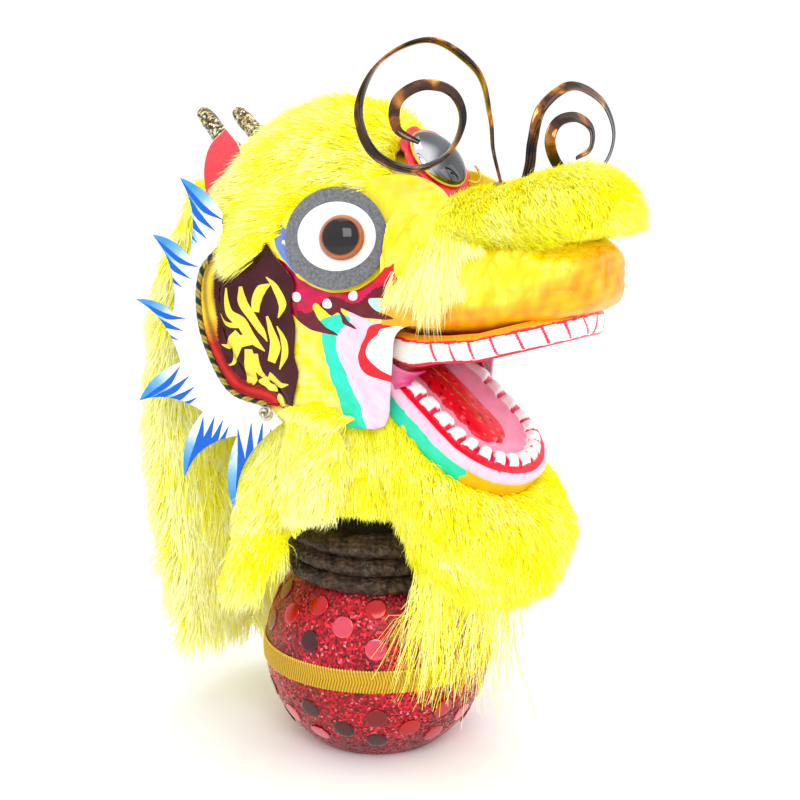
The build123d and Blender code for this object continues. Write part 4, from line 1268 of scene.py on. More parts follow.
def forehead(felt, mirror, gold):
    """The convex mirror on its red petals, with a thin gold rim."""
    frame_of = frame_at(FOREHEAD_CENTRE, FOREHEAD_OUT, (0, 0, 1))
    turn = lap(240)
    low_petal = np.exp(-(((turn - 1.5 * math.pi) / 0.5) ** 2))
    edge = 17.0 + 1.6 * np.abs(np.sin(turn * 4.5)) ** 0.7 + 2.4 * low_petal
    outline = np.stack([edge * np.cos(turn), edge * np.sin(turn)], -1)
    flat, faces = cut_sheet(outline, 0.8)
    reach = np.hypot(flat[:, 0], flat[:, 1])
    ripple = 0.6 * np.sin(np.arctan2(flat[:, 1], flat[:, 0]) * 9) * (reach / 19) ** 3
    lift = 0.5 + ripple - 0.010 * np.clip(reach - 9, 0, None) ** 2
    points = placed(frame_of, flat[:, 0], flat[:, 1], lift)
    petals = make_mesh("red_petals", points, faces, [felt], "head")
    thicken(petals, 1.0, -1.0)
    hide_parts("mirror_patch")
    t = np.linspace(0, math.pi / 2, 26)
    profile = [(14.3 * math.cos(a) + 0.001, 1.4 + 4.6 * math.sin(a)) for a in t][::-1] + [(14.3, 0.6)]
    button = revolved("mirror_glass", profile, frame_of, "head", [mirror], sides=96)
    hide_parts("mirror_button")
    ring = [placed(frame_of, 14.5 * math.cos(a), 14.5 * math.sin(a), 1.3) for a in lap(120)]
    tube("mirror_rim", np.array(ring), 0.55, "head", [gold], 10, closed=True)
    hook = smooth_line(
        [(10, -12.5, 1.6), (13, -14.5, 2.8), (15.5, -13.5, 4.0), (16.0, -10.0, 5.0), (14.8, -7.8, 5.6)], 0.4)
    hook = placed(frame_of, hook[:, 0], hook[:, 1], hook[:, 2])
    tube("mirror_tab", hook, 0.55, "head", [gold], 10)


def felt_ear(side, felt, card):
    """A leaf-shaped felt ear, cupped, on a pale card a little larger than itself."""
    end = "left" if side > 0 else "right"
    _, along, up, out = cheek_frame(side)
    frame_of = (np.array([side * 37.0, 60.0, 262.0]), along, up, out)
    right_edge = smooth_line([(-3, 25), (4, 17), (7, 6), (6.5, -7), (3, -18)], 0.7)
    left_edge = smooth_line([(3, -18), (-5, -18.5), (-10, -12), (-12, 2), (-9, 16), (-3, 25)], 0.7)
    outline = np.concatenate([right_edge[:-1], left_edge[:-1]])
    outline[:, 1] = (outline[:, 1] + 18) * 0.87 - 18
    for name, grow, back, material in ((f"ear_felt_{end}", 0.0, 0.7, felt),
                                       (f"ear_card_{end}", 0.35, 0.0, card)):
        middle = outline.mean(0)
        edge = middle + (outline - middle) * (1 + grow / 12)
        flat, faces = cut_sheet(edge, 0.9)
        cup = 0.018 * (flat[:, 0] + 3) ** 2
        points = placed(frame_of, flat[:, 0], flat[:, 1], back + cup)
        piece = make_mesh(name, points, faces if side < 0 else faces[:, ::-1], [material], "head")
        thicken(piece, 1.2 if grow == 0 else 0.5, -1.0)
        if grow == 0:
            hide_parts(f"ear_{end}")


def horn(side, glitter):
    """A blunt glittering horn, a little bent and bumpy."""
    end = "left" if side > 0 else "right"
    t = np.linspace(0, 1, 70)
    axis = np.array((side * -0.05, 0.74, 0.67))
    line = np.array((side * 14.0, 60.0, 252.5)) + t[:, None] * 55 * axis
    line += np.outer(1.2 * np.sin(math.pi * t), np.array((0, -0.67, 0.74)))
    radius = (6.1 - 2.6 * t) * np.sqrt(np.clip(1 - np.clip((t - 0.93) / 0.07, 0, 0.98) ** 2, 0.02, 1))
    sides = 40
    turn = lap(sides)
    bumps = 1 + 0.05 * np.sin(5 * turn[None, :] + 9 * t[:, None]) + 0.04 * np.sin(31 * t[:, None])
    bumpy = radius[:, None] * bumps
    piece = tube(f"glitter_horn_{end}", line, bumpy, "head", [glitter], sides)
    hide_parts(f"horn_{end}")


def glitter_paint(name):
    """Gold and silver glitter on black."""
    material, shader = new_material(name, 0.25, Metallic=0.7)
    flakes = texture(material, "ShaderNodeTexVoronoi", 900)
    split = material.node_tree.nodes.new("ShaderNodeSeparateColor")
    material.node_tree.links.new(flakes.outputs["Color"], split.inputs["Color"])
    colour_by(material, shader, split.outputs["Green"], [
        (0.0, (0.03, 0.025, 0.015)), (0.5, (0.16, 0.12, 0.05)), (0.68, (0.80, 0.58, 0.20)),
        (0.84, (0.95, 0.88, 0.70)), (0.93, (0.30, 0.24, 0.10)),
    ])
    link_bump(material, shader, flakes.outputs["Distance"], 0.7, 0.001)
    return material


# --- fur ---
FUR_TONES = [(0.96, 0.85, 0.0), (1.0, 0.93, 0.0), (1.0, 0.97, 0.01), (1.0, 0.98, 0.14), (1.0, 0.99, 0.50)]


def fur_materials():
    """The pile's shades from its roots to its tips: dull fibre with a faint painted light of its own that
    lifts its shade.
    """
    shades = []
    for i, tone in enumerate(FUR_TONES):
        # painted light: a faint emission in each fibre lightens the pile's shadows
        material, _ = new_material(
            f"fur_fibre_{i}", 0.8, Base_Color=(*tone, 1.0), Specular_IOR_Level=0.12,
            Emission_Color=(*tone, 1.0), Emission_Strength=0.065)
        shades.append(material)
    return shades


def strands(name, body, roots, normals, comb, length, lift, shades, tone, width=0.46, clump=0.45,
            spread=0.22, bend=0.55, levels=3, seed=1):
    """Ribbon fibres from roots. comb is the lie of the pile, lift how far it stands up, tone its shade."""
    own = np.random.default_rng(seed)
    count = len(roots)
    comb = unit(comb - normals * np.sum(comb * normals, axis=1, keepdims=True) * 0.7)
    start = unit(normals * lift + comb * (1 - lift) + own.normal(0, spread, (count, 3)))
    length = length * own.uniform(0.72, 1.12, count)
    lean = start * (1 - bend) + unit(comb + own.normal(0, spread, (count, 3))) * bend
    tips = roots + lean * length[:, None]
    mids = roots + start * (length * 0.5)[:, None]
    leaders = own.choice(count, max(1, count // 28), replace=False)
    tree = tree_of(roots[leaders])
    nearest = leaders[np.array([tree.find(r)[1] for r in roots])]
    pull = (clump * own.uniform(0.3, 1.0, count))[:, None]
    tips = tips * (1 - pull) + tips[nearest] * pull
    mids = mids * (1 - pull * 0.4) + mids[nearest] * pull * 0.4
    turn = own.normal(size=(count, 3))
    side = unit(np.cross(start, turn))
    points = []
    for level in range(levels):
        t = level / levels
        place = roots * (1 - t) ** 2 + mids * 2 * t * (1 - t) + tips * t * t
        half = side * (width / 2 * (1 - 0.45 * t))
        points += [place - half, place + half]
    points = np.stack([*points, tips], axis=1)
    size = 2 * levels + 1
    base = (np.arange(count) * size)[:, None]
    quads = ribbon_quads(base, levels)
    ends = base + np.array([[2 * levels - 2, 2 * levels - 1, 2 * levels]])
    leader_tone = own.normal(0, 0.55, count)[nearest] * 0.6
    mood = tone + 0.5 * waves(roots, 22, seed + 5) + leader_tone + own.normal(0, 0.35, count)
    slots = np.concatenate([np.clip(np.round(mood + k), 0, len(FUR_TONES) - 1) for k in range(levels - 1)])
    slots = np.concatenate([slots, np.clip(np.round(mood + levels - 1), 0, len(FUR_TONES) - 1)]).astype(int)
    return make_mesh(name, points.reshape(-1, 3), [quads, ends], shades, body, slots)


def egg_roots(centre, semi, count, seed):
    """Even points on an egg, and its normals there."""
    own = np.random.default_rng(seed)
    semi = np.asarray(semi, float)
    d = unit(own.normal(size=(count * 2, 3)))
    weight = np.linalg.norm(d / semi, axis=1)
    keep = own.uniform(0, weight.max(), len(d)) < weight
    d = d[keep]
    return np.asarray(centre, float) + d * semi, unit(d / semi)


def column_roots(stations, inset, count, seed, side=1.0):
    """Even points on a stack of level ovals: height, x, y, half width, half depth."""
    own = np.random.default_rng(seed)
    s = np.array(sorted(stations))
    z = own.uniform(s[0, 0], s[-1, 0], count * 2)
    x, y, a, b = (np.interp(z, s[:, 0], s[:, k]) for k in (1, 2, 3, 4))
    a, b = np.maximum(a - inset, 1.0), np.maximum(b - inset, 1.0)
    turn = own.uniform(0, 2 * math.pi, len(z))
    speed = np.hypot(a * np.sin(turn), b * np.cos(turn))
    keep = own.uniform(0, speed.max(), len(z)) < speed
    points = np.stack([side * (x + a * np.cos(turn)), y + b * np.sin(turn), z], -1)[keep]
    normals = np.stack([side * np.cos(turn) / a, np.sin(turn) / b, 0 * z], -1)[keep]
    return points, unit(normals)


def hide(name, points, faces, body, material, node):
    """The yellow backing that the pile grows from."""
    piece = make_mesh(name, points, faces, [material], body)
    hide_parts(node)
    return piece


def egg_hide(centre, semi, keep, rows=60, columns=90):
    """The backing of an egg, only where keep(points) is true."""
    lift = np.linspace(0.02, math.pi - 0.02, rows)[:, None]
    turn = lap(columns)[None, :]
    d = np.stack([np.sin(lift) * np.cos(turn), np.sin(lift) * np.sin(turn), np.cos(lift) + 0 * turn],
                 -1).reshape(-1, 3)
    points = np.asarray(centre, float) + d * np.asarray(semi, float)
    faces = grid_faces(rows, columns, wrap=True)
    inside_all = keep(points)[faces].all(axis=1)
    return points, faces[inside_all]


def column_hide(stations, inset, side=1.0, rows=40, columns=80):
    """The backing of a stack of ovals, closed at its ends."""
    s = np.array(sorted(stations))
    z = np.linspace(s[0, 0], s[-1, 0], rows)
    x, y, a, b = (np.interp(z, s[:, 0], s[:, k])[:, None] for k in (1, 2, 3, 4))
    a, b = np.maximum(a - inset, 0.6), np.maximum(b - inset, 0.6)
    turn = lap(columns)[None, :]
    points = np.stack([side * (x + a * np.cos(turn)), y + b * np.sin(turn), z[:, None] + 0 * turn],
                      -1).reshape(-1, 3)
    faces = grid_faces(rows, columns, wrap=True)
    caps = []
    for row in (0, rows - 1):
        middle = points[row * columns:(row + 1) * columns].mean(0)
        c = row * columns + np.arange(columns)
        caps.append(np.stack([c, np.roll(c, -1), np.full(columns, len(points))], -1))
        points = np.concatenate([points, middle[None]])
    return points, [faces, np.concatenate(caps)]


# --- fur of each region ---
CROWN_CENTRE, CROWN_SEMI = (0.0, 22.0, 230.0), (52.5, 62.0, 52.5)
CHEEK_STATIONS = [(166, 46, -2, 6, 18), (150, 49, 2, 10, 28), (125, 52, 8, 12, 32), (104, 54, 22, 9, 18),
                  (80, 56, 30, 5, 12)]
MANE_STATIONS = [(256, 0, 72, 46, 18), (214, 0, 84, 58, 20), (150, 0, 90, 60, 20), (90, 0, 90, 54, 18),
                 (34, 0, 93, 40, 12)]
THROAT_STATIONS = [(166, 0, -8, 40, 30), (140, 0, -4, 46, 40), (119, 0, -2, 46, 42)]


def off_axis(points, origin, axis):
    """How far the points lie from a line, and how far along it."""
    away = points - np.asarray(origin, float)
    along = away @ axis
    return np.linalg.norm(away - along[:, None] * axis, axis=1), along


def clear_of_face(points):
    """True away from the eyes and the forehead's mirror."""
    flipped = points * np.array((-1.0, 1.0, 1.0))
    keep = np.ones(len(points), bool)
    for spots in (points, flipped):
        reach, along = off_axis(spots, EYE_CENTRE, EYE_OUT)
        keep &= (reach > 23.0) | (along < -14)
    reach, along = off_axis(points, FOREHEAD_CENTRE, FOREHEAD_OUT)
    return keep & ((reach > 17.5) | (along < -12))


def on_crown(points):
    """The part of the skull that the crown's fur covers."""
    line = np.interp(points[:, 1], [-25, -23, -21, -14, -5, 2, 5, 62, 120],
                     [268, 262, 257, 258, 257, 251, 239, 236, 236])
    return (points[:, 2] > line - 1) & clear_of_face(points) & (points[:, 1] > -24)


def clear_of_base(points, gap=1.5):
    """True outside the space that the ball and neck turn in."""
    reach = np.hypot(points[:, 0], points[:, 1])
    ball = np.linalg.norm(points - np.array((0, 0, BALL_Z)), axis=1) > BALL_R + gap
    return ball & ((reach > 45 + gap) | (points[:, 2] > 111) | (points[:, 2] < 70))


def crown_lift(points):
    """The crown's fur stands higher over the front of the skull."""
    rise = 8.5 * np.exp(-(((points[:, 1] - 6) / 26) ** 2)) * np.clip((points[:, 2] - 250) / 25, 0, 1)
    return points + rise[:, None] * np.array((0.0, -0.15, 1.0))


def crown_fur(shades, backing):
    """The crown's dense pile, combed back and down."""
    points, faces = egg_hide(CROWN_CENTRE, CROWN_SEMI, on_crown)
    hide("crown_backing", crown_lift(points), faces, "head", backing, "fur_crown")
    roots, normals = egg_roots(CROWN_CENTRE, CROWN_SEMI, 60000, 201)
    keep = on_crown(roots)
    roots, normals = crown_lift(roots[keep]), normals[keep]
    side = np.sign(roots[:, :1])
    comb = lie(side * 0.35, 0.85, -0.35)
    swirl = waves(roots, 40, 211)[:, None]
    comb = comb + swirl * np.array((0.2, 0.1, 0.25))
    length = 14.5 + 2.5 * waves(roots, 26, 202) - 3.0 * np.clip((-roots[:, 1] - 10) / 30, 0, 1)
    pale = 1.3 + 0.9 * np.clip((roots[:, 1] - 25) / 30, 0, 1)
    strands("crown_pile", "head", roots, normals, comb, length, 0.70, shades, pale, seed=203)


def brow_fur(side, name, shades):
    """Longer hair that falls back from the brow over the temple's foil."""
    own = np.random.default_rng(221)
    count = 5200
    t = own.uniform(0, 1, count)
    line = smooth_line([(-26, 263, 0), (-14, 259.5, 0), (-2, 256, 0), (6, 249, 0), (11, 240, 0),
                        (19, 234, 0), (33, 236, 0)], 1.0)
    place = along_line(line[:, :2], t)
    place += own.normal(0, 1.5, place.shape)
    out = side_out(place[:, 0], place[:, 1]) - 1.0
    roots = np.stack([side * out, place[:, 0], place[:, 1]], -1)
    normals = np.tile((side * 0.85, -0.25, 0.35), (count, 1))
    back = np.clip((t - 0.35) / 0.4, 0, 1)[:, None]
    comb = (1 - back) * np.array((side * 0.2, 0.55, 0.25)) + back * np.array((side * 0.22, 0.85, -0.75))
    comb = comb + own.normal(0, 0.12, comb.shape)
    length = 8 + 19 * np.sin(math.pi * np.clip((t - 0.25) / 0.75, 0, 1))
    strands(name, "head", roots, unit(normals), comb, length, 0.25, shades, 1.5, clump=0.6, spread=0.12,
            bend=0.6, seed=222)


SNOUT_FUR = [
    (-44, 22, 236, 254), (-60, 27, 236, 256), (-76, 28.5, 236, 257.5), (-92, 28.5, 237, 263),
    (-107, 27, 238, 266), (-116, 22, 241, 263), (-121, 13, 246, 257),
]


def snout_fur(shades, backing):
    """The thick roll of fur that lies over the top of the snout."""
    own = np.random.default_rng(231)
    stations = np.array(SNOUT_FUR)[::-1]
    count = 36000

    def roll(y, turn):
        half, low, high = (np.interp(y, stations[:, 0], stations[:, k]) for k in (1, 2, 3))
        power = 2 / 2.3
        x = half * np.sign(np.cos(turn)) * np.abs(np.cos(turn)) ** power
        z = (low + high) / 2 + (high - low) / 2 * np.sign(np.sin(turn)) * np.abs(np.sin(turn)) ** power
        out = np.stack([np.cos(turn) / np.maximum(half, 1), 0 * y, np.sin(turn) * 2 / (high - low)], -1)
        return np.stack([x, y, z], -1), unit(out)

    rows = np.linspace(-121, -44, 60)[:, None] + np.zeros((1, 72))
    turns = lap(72)[None, :] + np.zeros((60, 1))
    points, _ = roll(rows.ravel(), turns.ravel())
    faces = grid_faces(60, 72, wrap=True)
    front = np.stack([np.arange(72), np.roll(np.arange(72), -1), np.full(72, len(points))], -1)
    points = np.concatenate([points, points[:72].mean(0)[None]])
    hide("snout_backing", points, [faces, front], "head", backing, "fur_snout")
    y = own.uniform(-121, -44, count)
    turn = own.uniform(-0.75, math.pi + 0.75, count)
    roots, normals = roll(y, turn)
    nose_disc = own.uniform(0, 1, (2600, 2))
    ring_points, _ = roll(np.full(2600, -121.0), nose_disc[:, 1] * 2 * math.pi)
    heart = np.array((0.0, -121.0, 251.5))
    nose_roots = heart + (ring_points - heart) * np.sqrt(nose_disc[:, :1])
    roots = np.concatenate([roots, nose_roots])
    normals = np.concatenate([normals, np.tile((0.0, -0.95, 0.3), (2600, 1))])
    nose = np.clip((-roots[:, 1] - 104) / 16, 0, 1)[:, None]
    normals = unit(normals * (1 - 0.7 * nose) + nose * np.array((0.0, -0.7, 0.1)))
    keep = clear_of_face(roots) & (roots[:, 1] < -56)
    for root in ((-12, -76), (14, -70)):
        keep &= np.hypot(roots[:, 0] - root[0], roots[:, 1] - root[1]) > 2.6
    roots, normals, nose = roots[keep], normals[keep], nose[keep]
    side = np.tanh(roots[:, :1] / 12)
    comb = lie(side * 0.55, -0.55, -0.25)
    comb = comb + waves(roots, 30, 232)[:, None] * np.array((0.15, 0.3, 0.1))
    length = 12.5 + 1.5 * waves(roots, 20, 233) - 6.0 * np.clip((roots[:, 1] + 66) / 20, 0, 1)
    length = length - 2.0 * np.clip((250 - roots[:, 2]) / 12, 0, 1)
    length = length - 3.0 * nose[:, 0]
    strands("snout_pile", "head", roots, normals, comb, length, 0.72, shades, 0.7, seed=234)


def muzzle_fur(side, name, shades, node):
    """The fan of long hair that hangs from the snout's side over the lip."""
    own = np.random.default_rng(241)
    count = 9000
    y = own.uniform(-78, -42, count)
    top = np.interp(y, [-78, -62, -51, -42], [241, 249, 245, 230])
    z = top - own.uniform(0, 1, count) ** 1.3 * np.interp(y, [-78, -60, -42], [12, 24, 12])
    out = np.maximum(side_out(y, z), np.interp(y, [-80, -37], [30, 26])) - 1.5
    roots = np.stack([side * out, y, z], -1)
    normals = np.tile((side * 0.95, -0.15, 0.25), (count, 1))
    fan = np.interp(y, [-78, -62, -50, -37], [-0.75, -0.15, 0.15, 0.35])
    comb = np.stack([side * np.full(count, 0.10), fan, np.full(count, -1.0)], -1)
    middle = np.exp(-(((y + 58) / 9) ** 2))
    length = 10 + 9 * middle + 4 * own.uniform(0, 1, count) + 11 * middle * (own.uniform(0, 1, count) > 0.72)
    piece = strands(name, "head", roots, unit(normals), comb, length, 0.30, shades, 2.4, clump=0.62,
                    spread=0.10, bend=0.65, seed=242)
    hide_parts(node)


def behind_fin(points, side):
    """Moves places on the ruff inwards where the fin's lowest flames hang in front of it."""
    origin, along, _, out = cheek_frame(side)
    reach = (points - origin) @ out
    share = np.clip(((points - origin) @ along + 15) / 7, 0, 1)
    share = eased(share) * np.clip((points[:, 2] - 92) / 12, 0, 1)
    return points - (np.clip(reach + 8.0, 0, None) * share)[:, None] * out, share


def cheek_fur(side, name, shades, backing, node):
    """The ruff below the painted cheek, short above and long below."""
    points, faces = column_hide(CHEEK_STATIONS, 4.0, side)
    hide(f"{name}_backing", behind_fin(points, side)[0], faces, "head", backing, node)
    roots, normals = column_roots(CHEEK_STATIONS, 4.0, 21000, 251, side)
    own = np.random.default_rng(252)
    top = own.uniform(0, 1, (2600, 2))
    cap = np.stack([
        side * (40 + 10 * top[:, 1]), -24 + 44 * top[:, 0], 162 + 2.5 * np.sin(top[:, 0] * 3),
    ], -1)
    roots = np.concatenate([roots, cap])
    normals = np.concatenate([normals, np.tile(unit(np.array((side * 0.7, 0.0, 0.7))), (len(cap), 1))])
    roots, tucked = behind_fin(roots, side)
    keep = clear_of_base(roots) & (normals[:, 0] * side > -0.35)
    roots, normals, tucked = roots[keep], normals[keep], tucked[keep]
    stray = waves(roots, 26, 253)[:, None] * np.array((0.1, 0.3, 0.1))
    comb = np.tile((side * 0.10, 0.28, -1.0), (len(roots), 1)) + stray
    comb[:, 1] -= 0.35 * np.exp(-(((roots[:, 1] - 2) / 10) ** 2)) * np.clip((roots[:, 2] - 100) / 10, 0, 1)
    length = np.interp(roots[:, 2], [85, 110, 150, 166], [19, 18, 14, 10]) + 1.5 * waves(roots, 18, 254)
    above_base = np.where(roots[:, 1] < 14, roots[:, 2] - 114, 60)
    length = np.minimum(length, np.clip(above_base * 1.1, 3, None)) * (1 - 0.35 * tucked)
    strands(f"{name}_pile", "head", roots, normals, comb, length, 0.50, shades, 2.1, seed=255)


def mane_fur(shades, backing):
    """The long mane down the back of the head."""
    points, faces = column_hide(MANE_STATIONS, 7.0)
    hide("mane_backing", points, faces, "head", backing, "fur_mane")
    for name, seed, sign in (("mane_pile_right", 261, -1), ("mane_pile_left", 262, 1)):
        roots, normals = column_roots(MANE_STATIONS, 7.0, 60000, seed)
        own = np.random.default_rng(seed + 20)
        turn, reach = own.uniform(0, 2 * math.pi, 3600), np.sqrt(own.uniform(0, 1, 3600))
        top = np.stack(
            [39 * reach * np.cos(turn), 72 + 11 * reach * np.sin(turn), 256 + 4 * (1 - reach**2)], -1)
        roots = np.concatenate([roots, top])
        top_out = unit(np.stack([0.5 * np.cos(turn), 0.5 + 0.3 * np.sin(turn), 0.8 + 0 * turn], -1))
        normals = np.concatenate([normals, top_out])
        keep = (roots[:, 0] * sign > 0) & clear_of_base(roots)
        keep &= (normals[:, 1] > -0.35) | (own.uniform(0, 1, len(roots)) < 0.5)
        roots, normals = roots[keep], normals[keep]
        comb = np.tile((sign * 0.10, 0.20, -1.0), (len(roots), 1))
        comb = comb + waves(roots, 45, seed + 40)[:, None] * np.array((0.3, 0.15, 0.1))
        length = np.interp(roots[:, 2], [34, 80, 200, 256], [20, 24, 18, 13])
        length += 2.5 * waves(roots, 25, seed + 41)
        pale = 1.7 + 1.3 * np.clip((np.abs(roots[:, 0]) - 30) / 25, 0, 1)
        pale += 0.8 * np.clip((120 - roots[:, 2]) / 60, 0, 1)
        strands(name, "head", roots, normals, comb, length, 0.52, shades, pale, width=0.62, clump=0.55,
                seed=seed + 42)


def nape_fur(shades):
    """The short fur behind the cheeks, down the back of the skull and the neck to the mane."""
    skull, skull_out = egg_roots((0, 12, 226), (48.6, 60.6, 48.6), 26000, 301)
    neck, neck_out = column_roots([(196, 0, 20, 26.5, 26.5), (122, 0, 4, 24.5, 24.5)], 0.0, 9000, 302)
    roots, normals = np.concatenate([skull, neck]), np.concatenate([skull_out, neck_out])
    flare = (np.abs(roots[:, 0]) - CHEEK[0]) * cheek_side[0] - (roots[:, 1] - CHEEK[1]) * cheek_side[1]
    behind = (roots[:, 1] > 24) & (flare < -4)
    keep = np.where(np.arange(len(roots)) < len(skull), behind & (roots[:, 2] < 246), roots[:, 1] > 2)
    roots, normals = roots[keep], normals[keep]
    stray = waves(roots, 25, 303)[:, None] * np.array((0.2, 0.2, 0.1))
    comb = np.tile((0.0, 0.5, -1.0), (len(roots), 1)) + stray
    length = np.clip(9.5 + 1.5 * waves(roots, 18, 304), 4, (roots[:, 2] - 114) * 1.2 + 4)
    strands("nape_pile", "head", roots, normals, comb, length, 0.55, shades, 1.1, seed=305)


def throat_fur(shades, backing):
    """The short fur round the neck, between the ruffs and above the plush collar."""
    points, faces = column_hide(THROAT_STATIONS, 6.0)
    hide("throat_backing", points, faces, "head", backing, "fur_throat")
    roots, normals = column_roots(THROAT_STATIONS, 6.0, 19500, 291)
    own = np.random.default_rng(292)
    ring = own.uniform(0, 1, (4500, 2))
    turn = ring[:, 0] * 2 * math.pi
    reach = np.sqrt(0.42 + 0.58 * ring[:, 1])
    under = np.stack([41 * reach * np.cos(turn), -2 + 38 * reach * np.sin(turn), np.full(4500, 120.0)], -1)
    roots = np.concatenate([roots, under])
    normals = np.concatenate([normals, unit(np.stack([np.cos(turn), np.sin(turn), -0.5 + 0 * turn], -1))])
    comb = np.concatenate([0.5 * normals[:, :2], np.full((len(roots), 1), -0.9)], axis=1)
    comb = comb + waves(roots, 22, 293)[:, None] * np.array((0.25, 0.25, 0.1))
    length = np.clip((roots[:, 2] - 113) * 1.0, 4.0, 12.5) + 1.2 * waves(roots, 15, 294)
    strands("throat_pile", "head", roots, normals, comb, length, 0.62, shades, 1.2, width=0.56, seed=295)


def chin_surface(along, down):
    """Places on the puff under the jaw: along the jaw's edge from 0 to 1, down from the jaw to the beard."""
    rim, inward = arch_path(30.0, -6, -45.5, 0.5)
    low, _ = arch_path(25.0, -38, -61, 0.5)
    share = np.linspace(0, 1, len(rim))
    low_share = np.linspace(0, 1, len(low))
    top_x, top_y = (np.interp(along, share, rim[:, k]) for k in (0, 1))
    in_x, in_y = (np.interp(along, share, inward[:, k]) for k in (0, 1))
    top = jaw_place(top_x, -top_y, np.full(np.shape(along), -12.0))
    low_x, low_y = (np.interp(along, low_share, low[:, k]) for k in (0, 1))
    low_z = 93 + 1.5 * np.clip(low_y + 53, 0, None)
    bottom = np.stack([low_x, low_y, low_z], -1)
    out = np.stack([-in_x, -in_y, 0 * in_x], -1)
    front = np.clip((-top_y - 20) / 30, 0, 1)
    bulge = (4 + 8.5 * front) * np.sin(math.pi * np.clip(down, 0, 1)) ** 0.8
    return top * (1 - down[..., None]) + bottom * down[..., None] + out * bulge[..., None]


def chin_fur(shades, backing):
    """The puff that hangs from the jaw's edge."""
    rows, columns = 26, 120
    down = np.linspace(0, 1, rows)[:, None] + np.zeros((1, columns))
    along = np.linspace(0, 1, columns)[None, :] + np.zeros((rows, 1))
    points = chin_surface(along, down).reshape(-1, 3)
    last = (rows - 1) * columns + np.arange(columns)
    heart = points[last].mean(0) + np.array((0, 0, -2.0))
    cap = np.stack([last[:-1], last[1:], np.full(columns - 1, len(points))], -1)
    hide("chin_backing", np.concatenate([points, heart[None]]), [grid_faces(rows, columns), cap],
         "jaw", backing, "fur_chin")
    own = np.random.default_rng(271)
    count = 30000
    a, d = own.uniform(0, 1, count), own.uniform(0.0, 1, count)
    roots = chin_surface(a, d)
    step = 0.004
    normals = unit(np.cross(chin_surface(a + step, d) - roots, chin_surface(a, d + step) - roots))
    away = roots - np.array((0.0, -58.0, 125.0))
    normals *= np.sign(np.sum(normals * away, axis=1))[:, None]
    under = own.uniform(0, 1, (3500, 2))
    edge = chin_surface(under[:, 0], np.ones(3500))
    roots = np.concatenate([roots, heart + (edge - heart) * np.sqrt(under[:, 1:])])
    normals = np.concatenate([normals, np.tile((0.0, -0.3, -0.95), (3500, 1))])
    keep = clear_of_base(roots, 3.0)
    roots, normals = roots[keep], normals[keep]
    side = np.tanh(roots[:, :1] / 15)
    comb = lie(side * 0.30, -0.35, -0.85)
    comb = comb + waves(roots, 25, 273)[:, None] * np.array((0.3, 0.3, 0.1))
    length = np.interp(roots[:, 2], [88, 110, 140, 170], [14, 12, 9.5, 7.5]) + 1.2 * waves(roots, 15, 274)
    strands("chin_pile", "jaw", roots, normals, comb, length, 0.62, shades, 0.9, seed=275)


def beard_fur(shades):
    """Long sparse hairs, each on its own line, that fall in front of the ball."""
    own = np.random.default_rng(281)
    count = 720
    near = own.uniform(0, 1, count) < 0.6
    x = np.clip(np.where(near, own.normal(-23, 5, count), own.normal(-6, 11, count)), -32, 20)
    y = np.where(near, own.uniform(-62, -48, count), own.uniform(-78, -54, count))
    z = np.where(near, 101, 93) - own.uniform(0, 4, count)
    roots = np.stack([x, y, z], -1)
    length = own.uniform(18, 66, count) * (1 - 0.25 * np.abs(x + 9) / 26)
    lean = own.normal(0, 0.20, (count, 3)) + np.array((-0.12, 0.06, -1.0))
    stations = 9
    t = np.linspace(0, 1, stations)[None, :, None]
    curl = own.normal(0, 3.2, (count, 1, 3)) * np.array((1.0, 0.7, 0.2))
    droop = np.array((0, 0, -3.0)) * t**2
    path = roots[:, None] + unit(lean)[:, None] * length[:, None, None] * t + curl * t**2 + droop
    ahead = np.array((0, 0, BALL_Z))
    off = path - ahead
    reach = np.linalg.norm(off, axis=-1, keepdims=True)
    clear = np.maximum(reach, BALL_R + 2.6)
    path = ahead + off / reach * clear
    too_far_back = (path[..., 2] > 76) & (path[..., 1] > -48) & (np.abs(path[..., 0]) < 40)
    path[..., 1] = np.where(too_far_back, -48, path[..., 1])
    side = unit(np.cross(unit(lean), own.normal(size=(count, 3))))[:, None]
    half = 0.19 * (1 - 0.5 * t)
    points = np.concatenate([path - side * half, path + side * half], axis=-1)
    base = (np.arange(count) * stations * 2)[:, None]
    faces = ribbon_quads(base, stations)
    tone = own.integers(2, len(FUR_TONES), count)
    slots = np.concatenate([tone for _ in range(stations - 1)])
    piece = make_mesh("beard_hair", points.reshape(-1, 3), faces, shades, "jaw", slots)
    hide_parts("beard")


# --- finishes for the parts that keep their CAD shape ---
def wood(name):
    """Pale turned bamboo with its grain up the part."""
    material, shader = new_material(name, 0.55)
    grain = texture(material, "ShaderNodeTexWave", 55, Distortion=5.0, Detail=3.0)
    colour_by(material, shader, grain.outputs["Fac"], [(0.2, (0.55, 0.36, 0.18)), (0.8, (0.74, 0.55, 0.32))])
    link_bump(material, shader, grain.outputs["Fac"], 0.15, 0.001)
    return material


def dress(material, *nodes):
    """Puts a material on CAD nodes that stay."""
    for node in nodes:
        piece = frame["nodes"][node]
        piece.data.materials.clear()
        piece.data.materials.append(material)
        for slot in piece.material_slots:
            slot.material = material


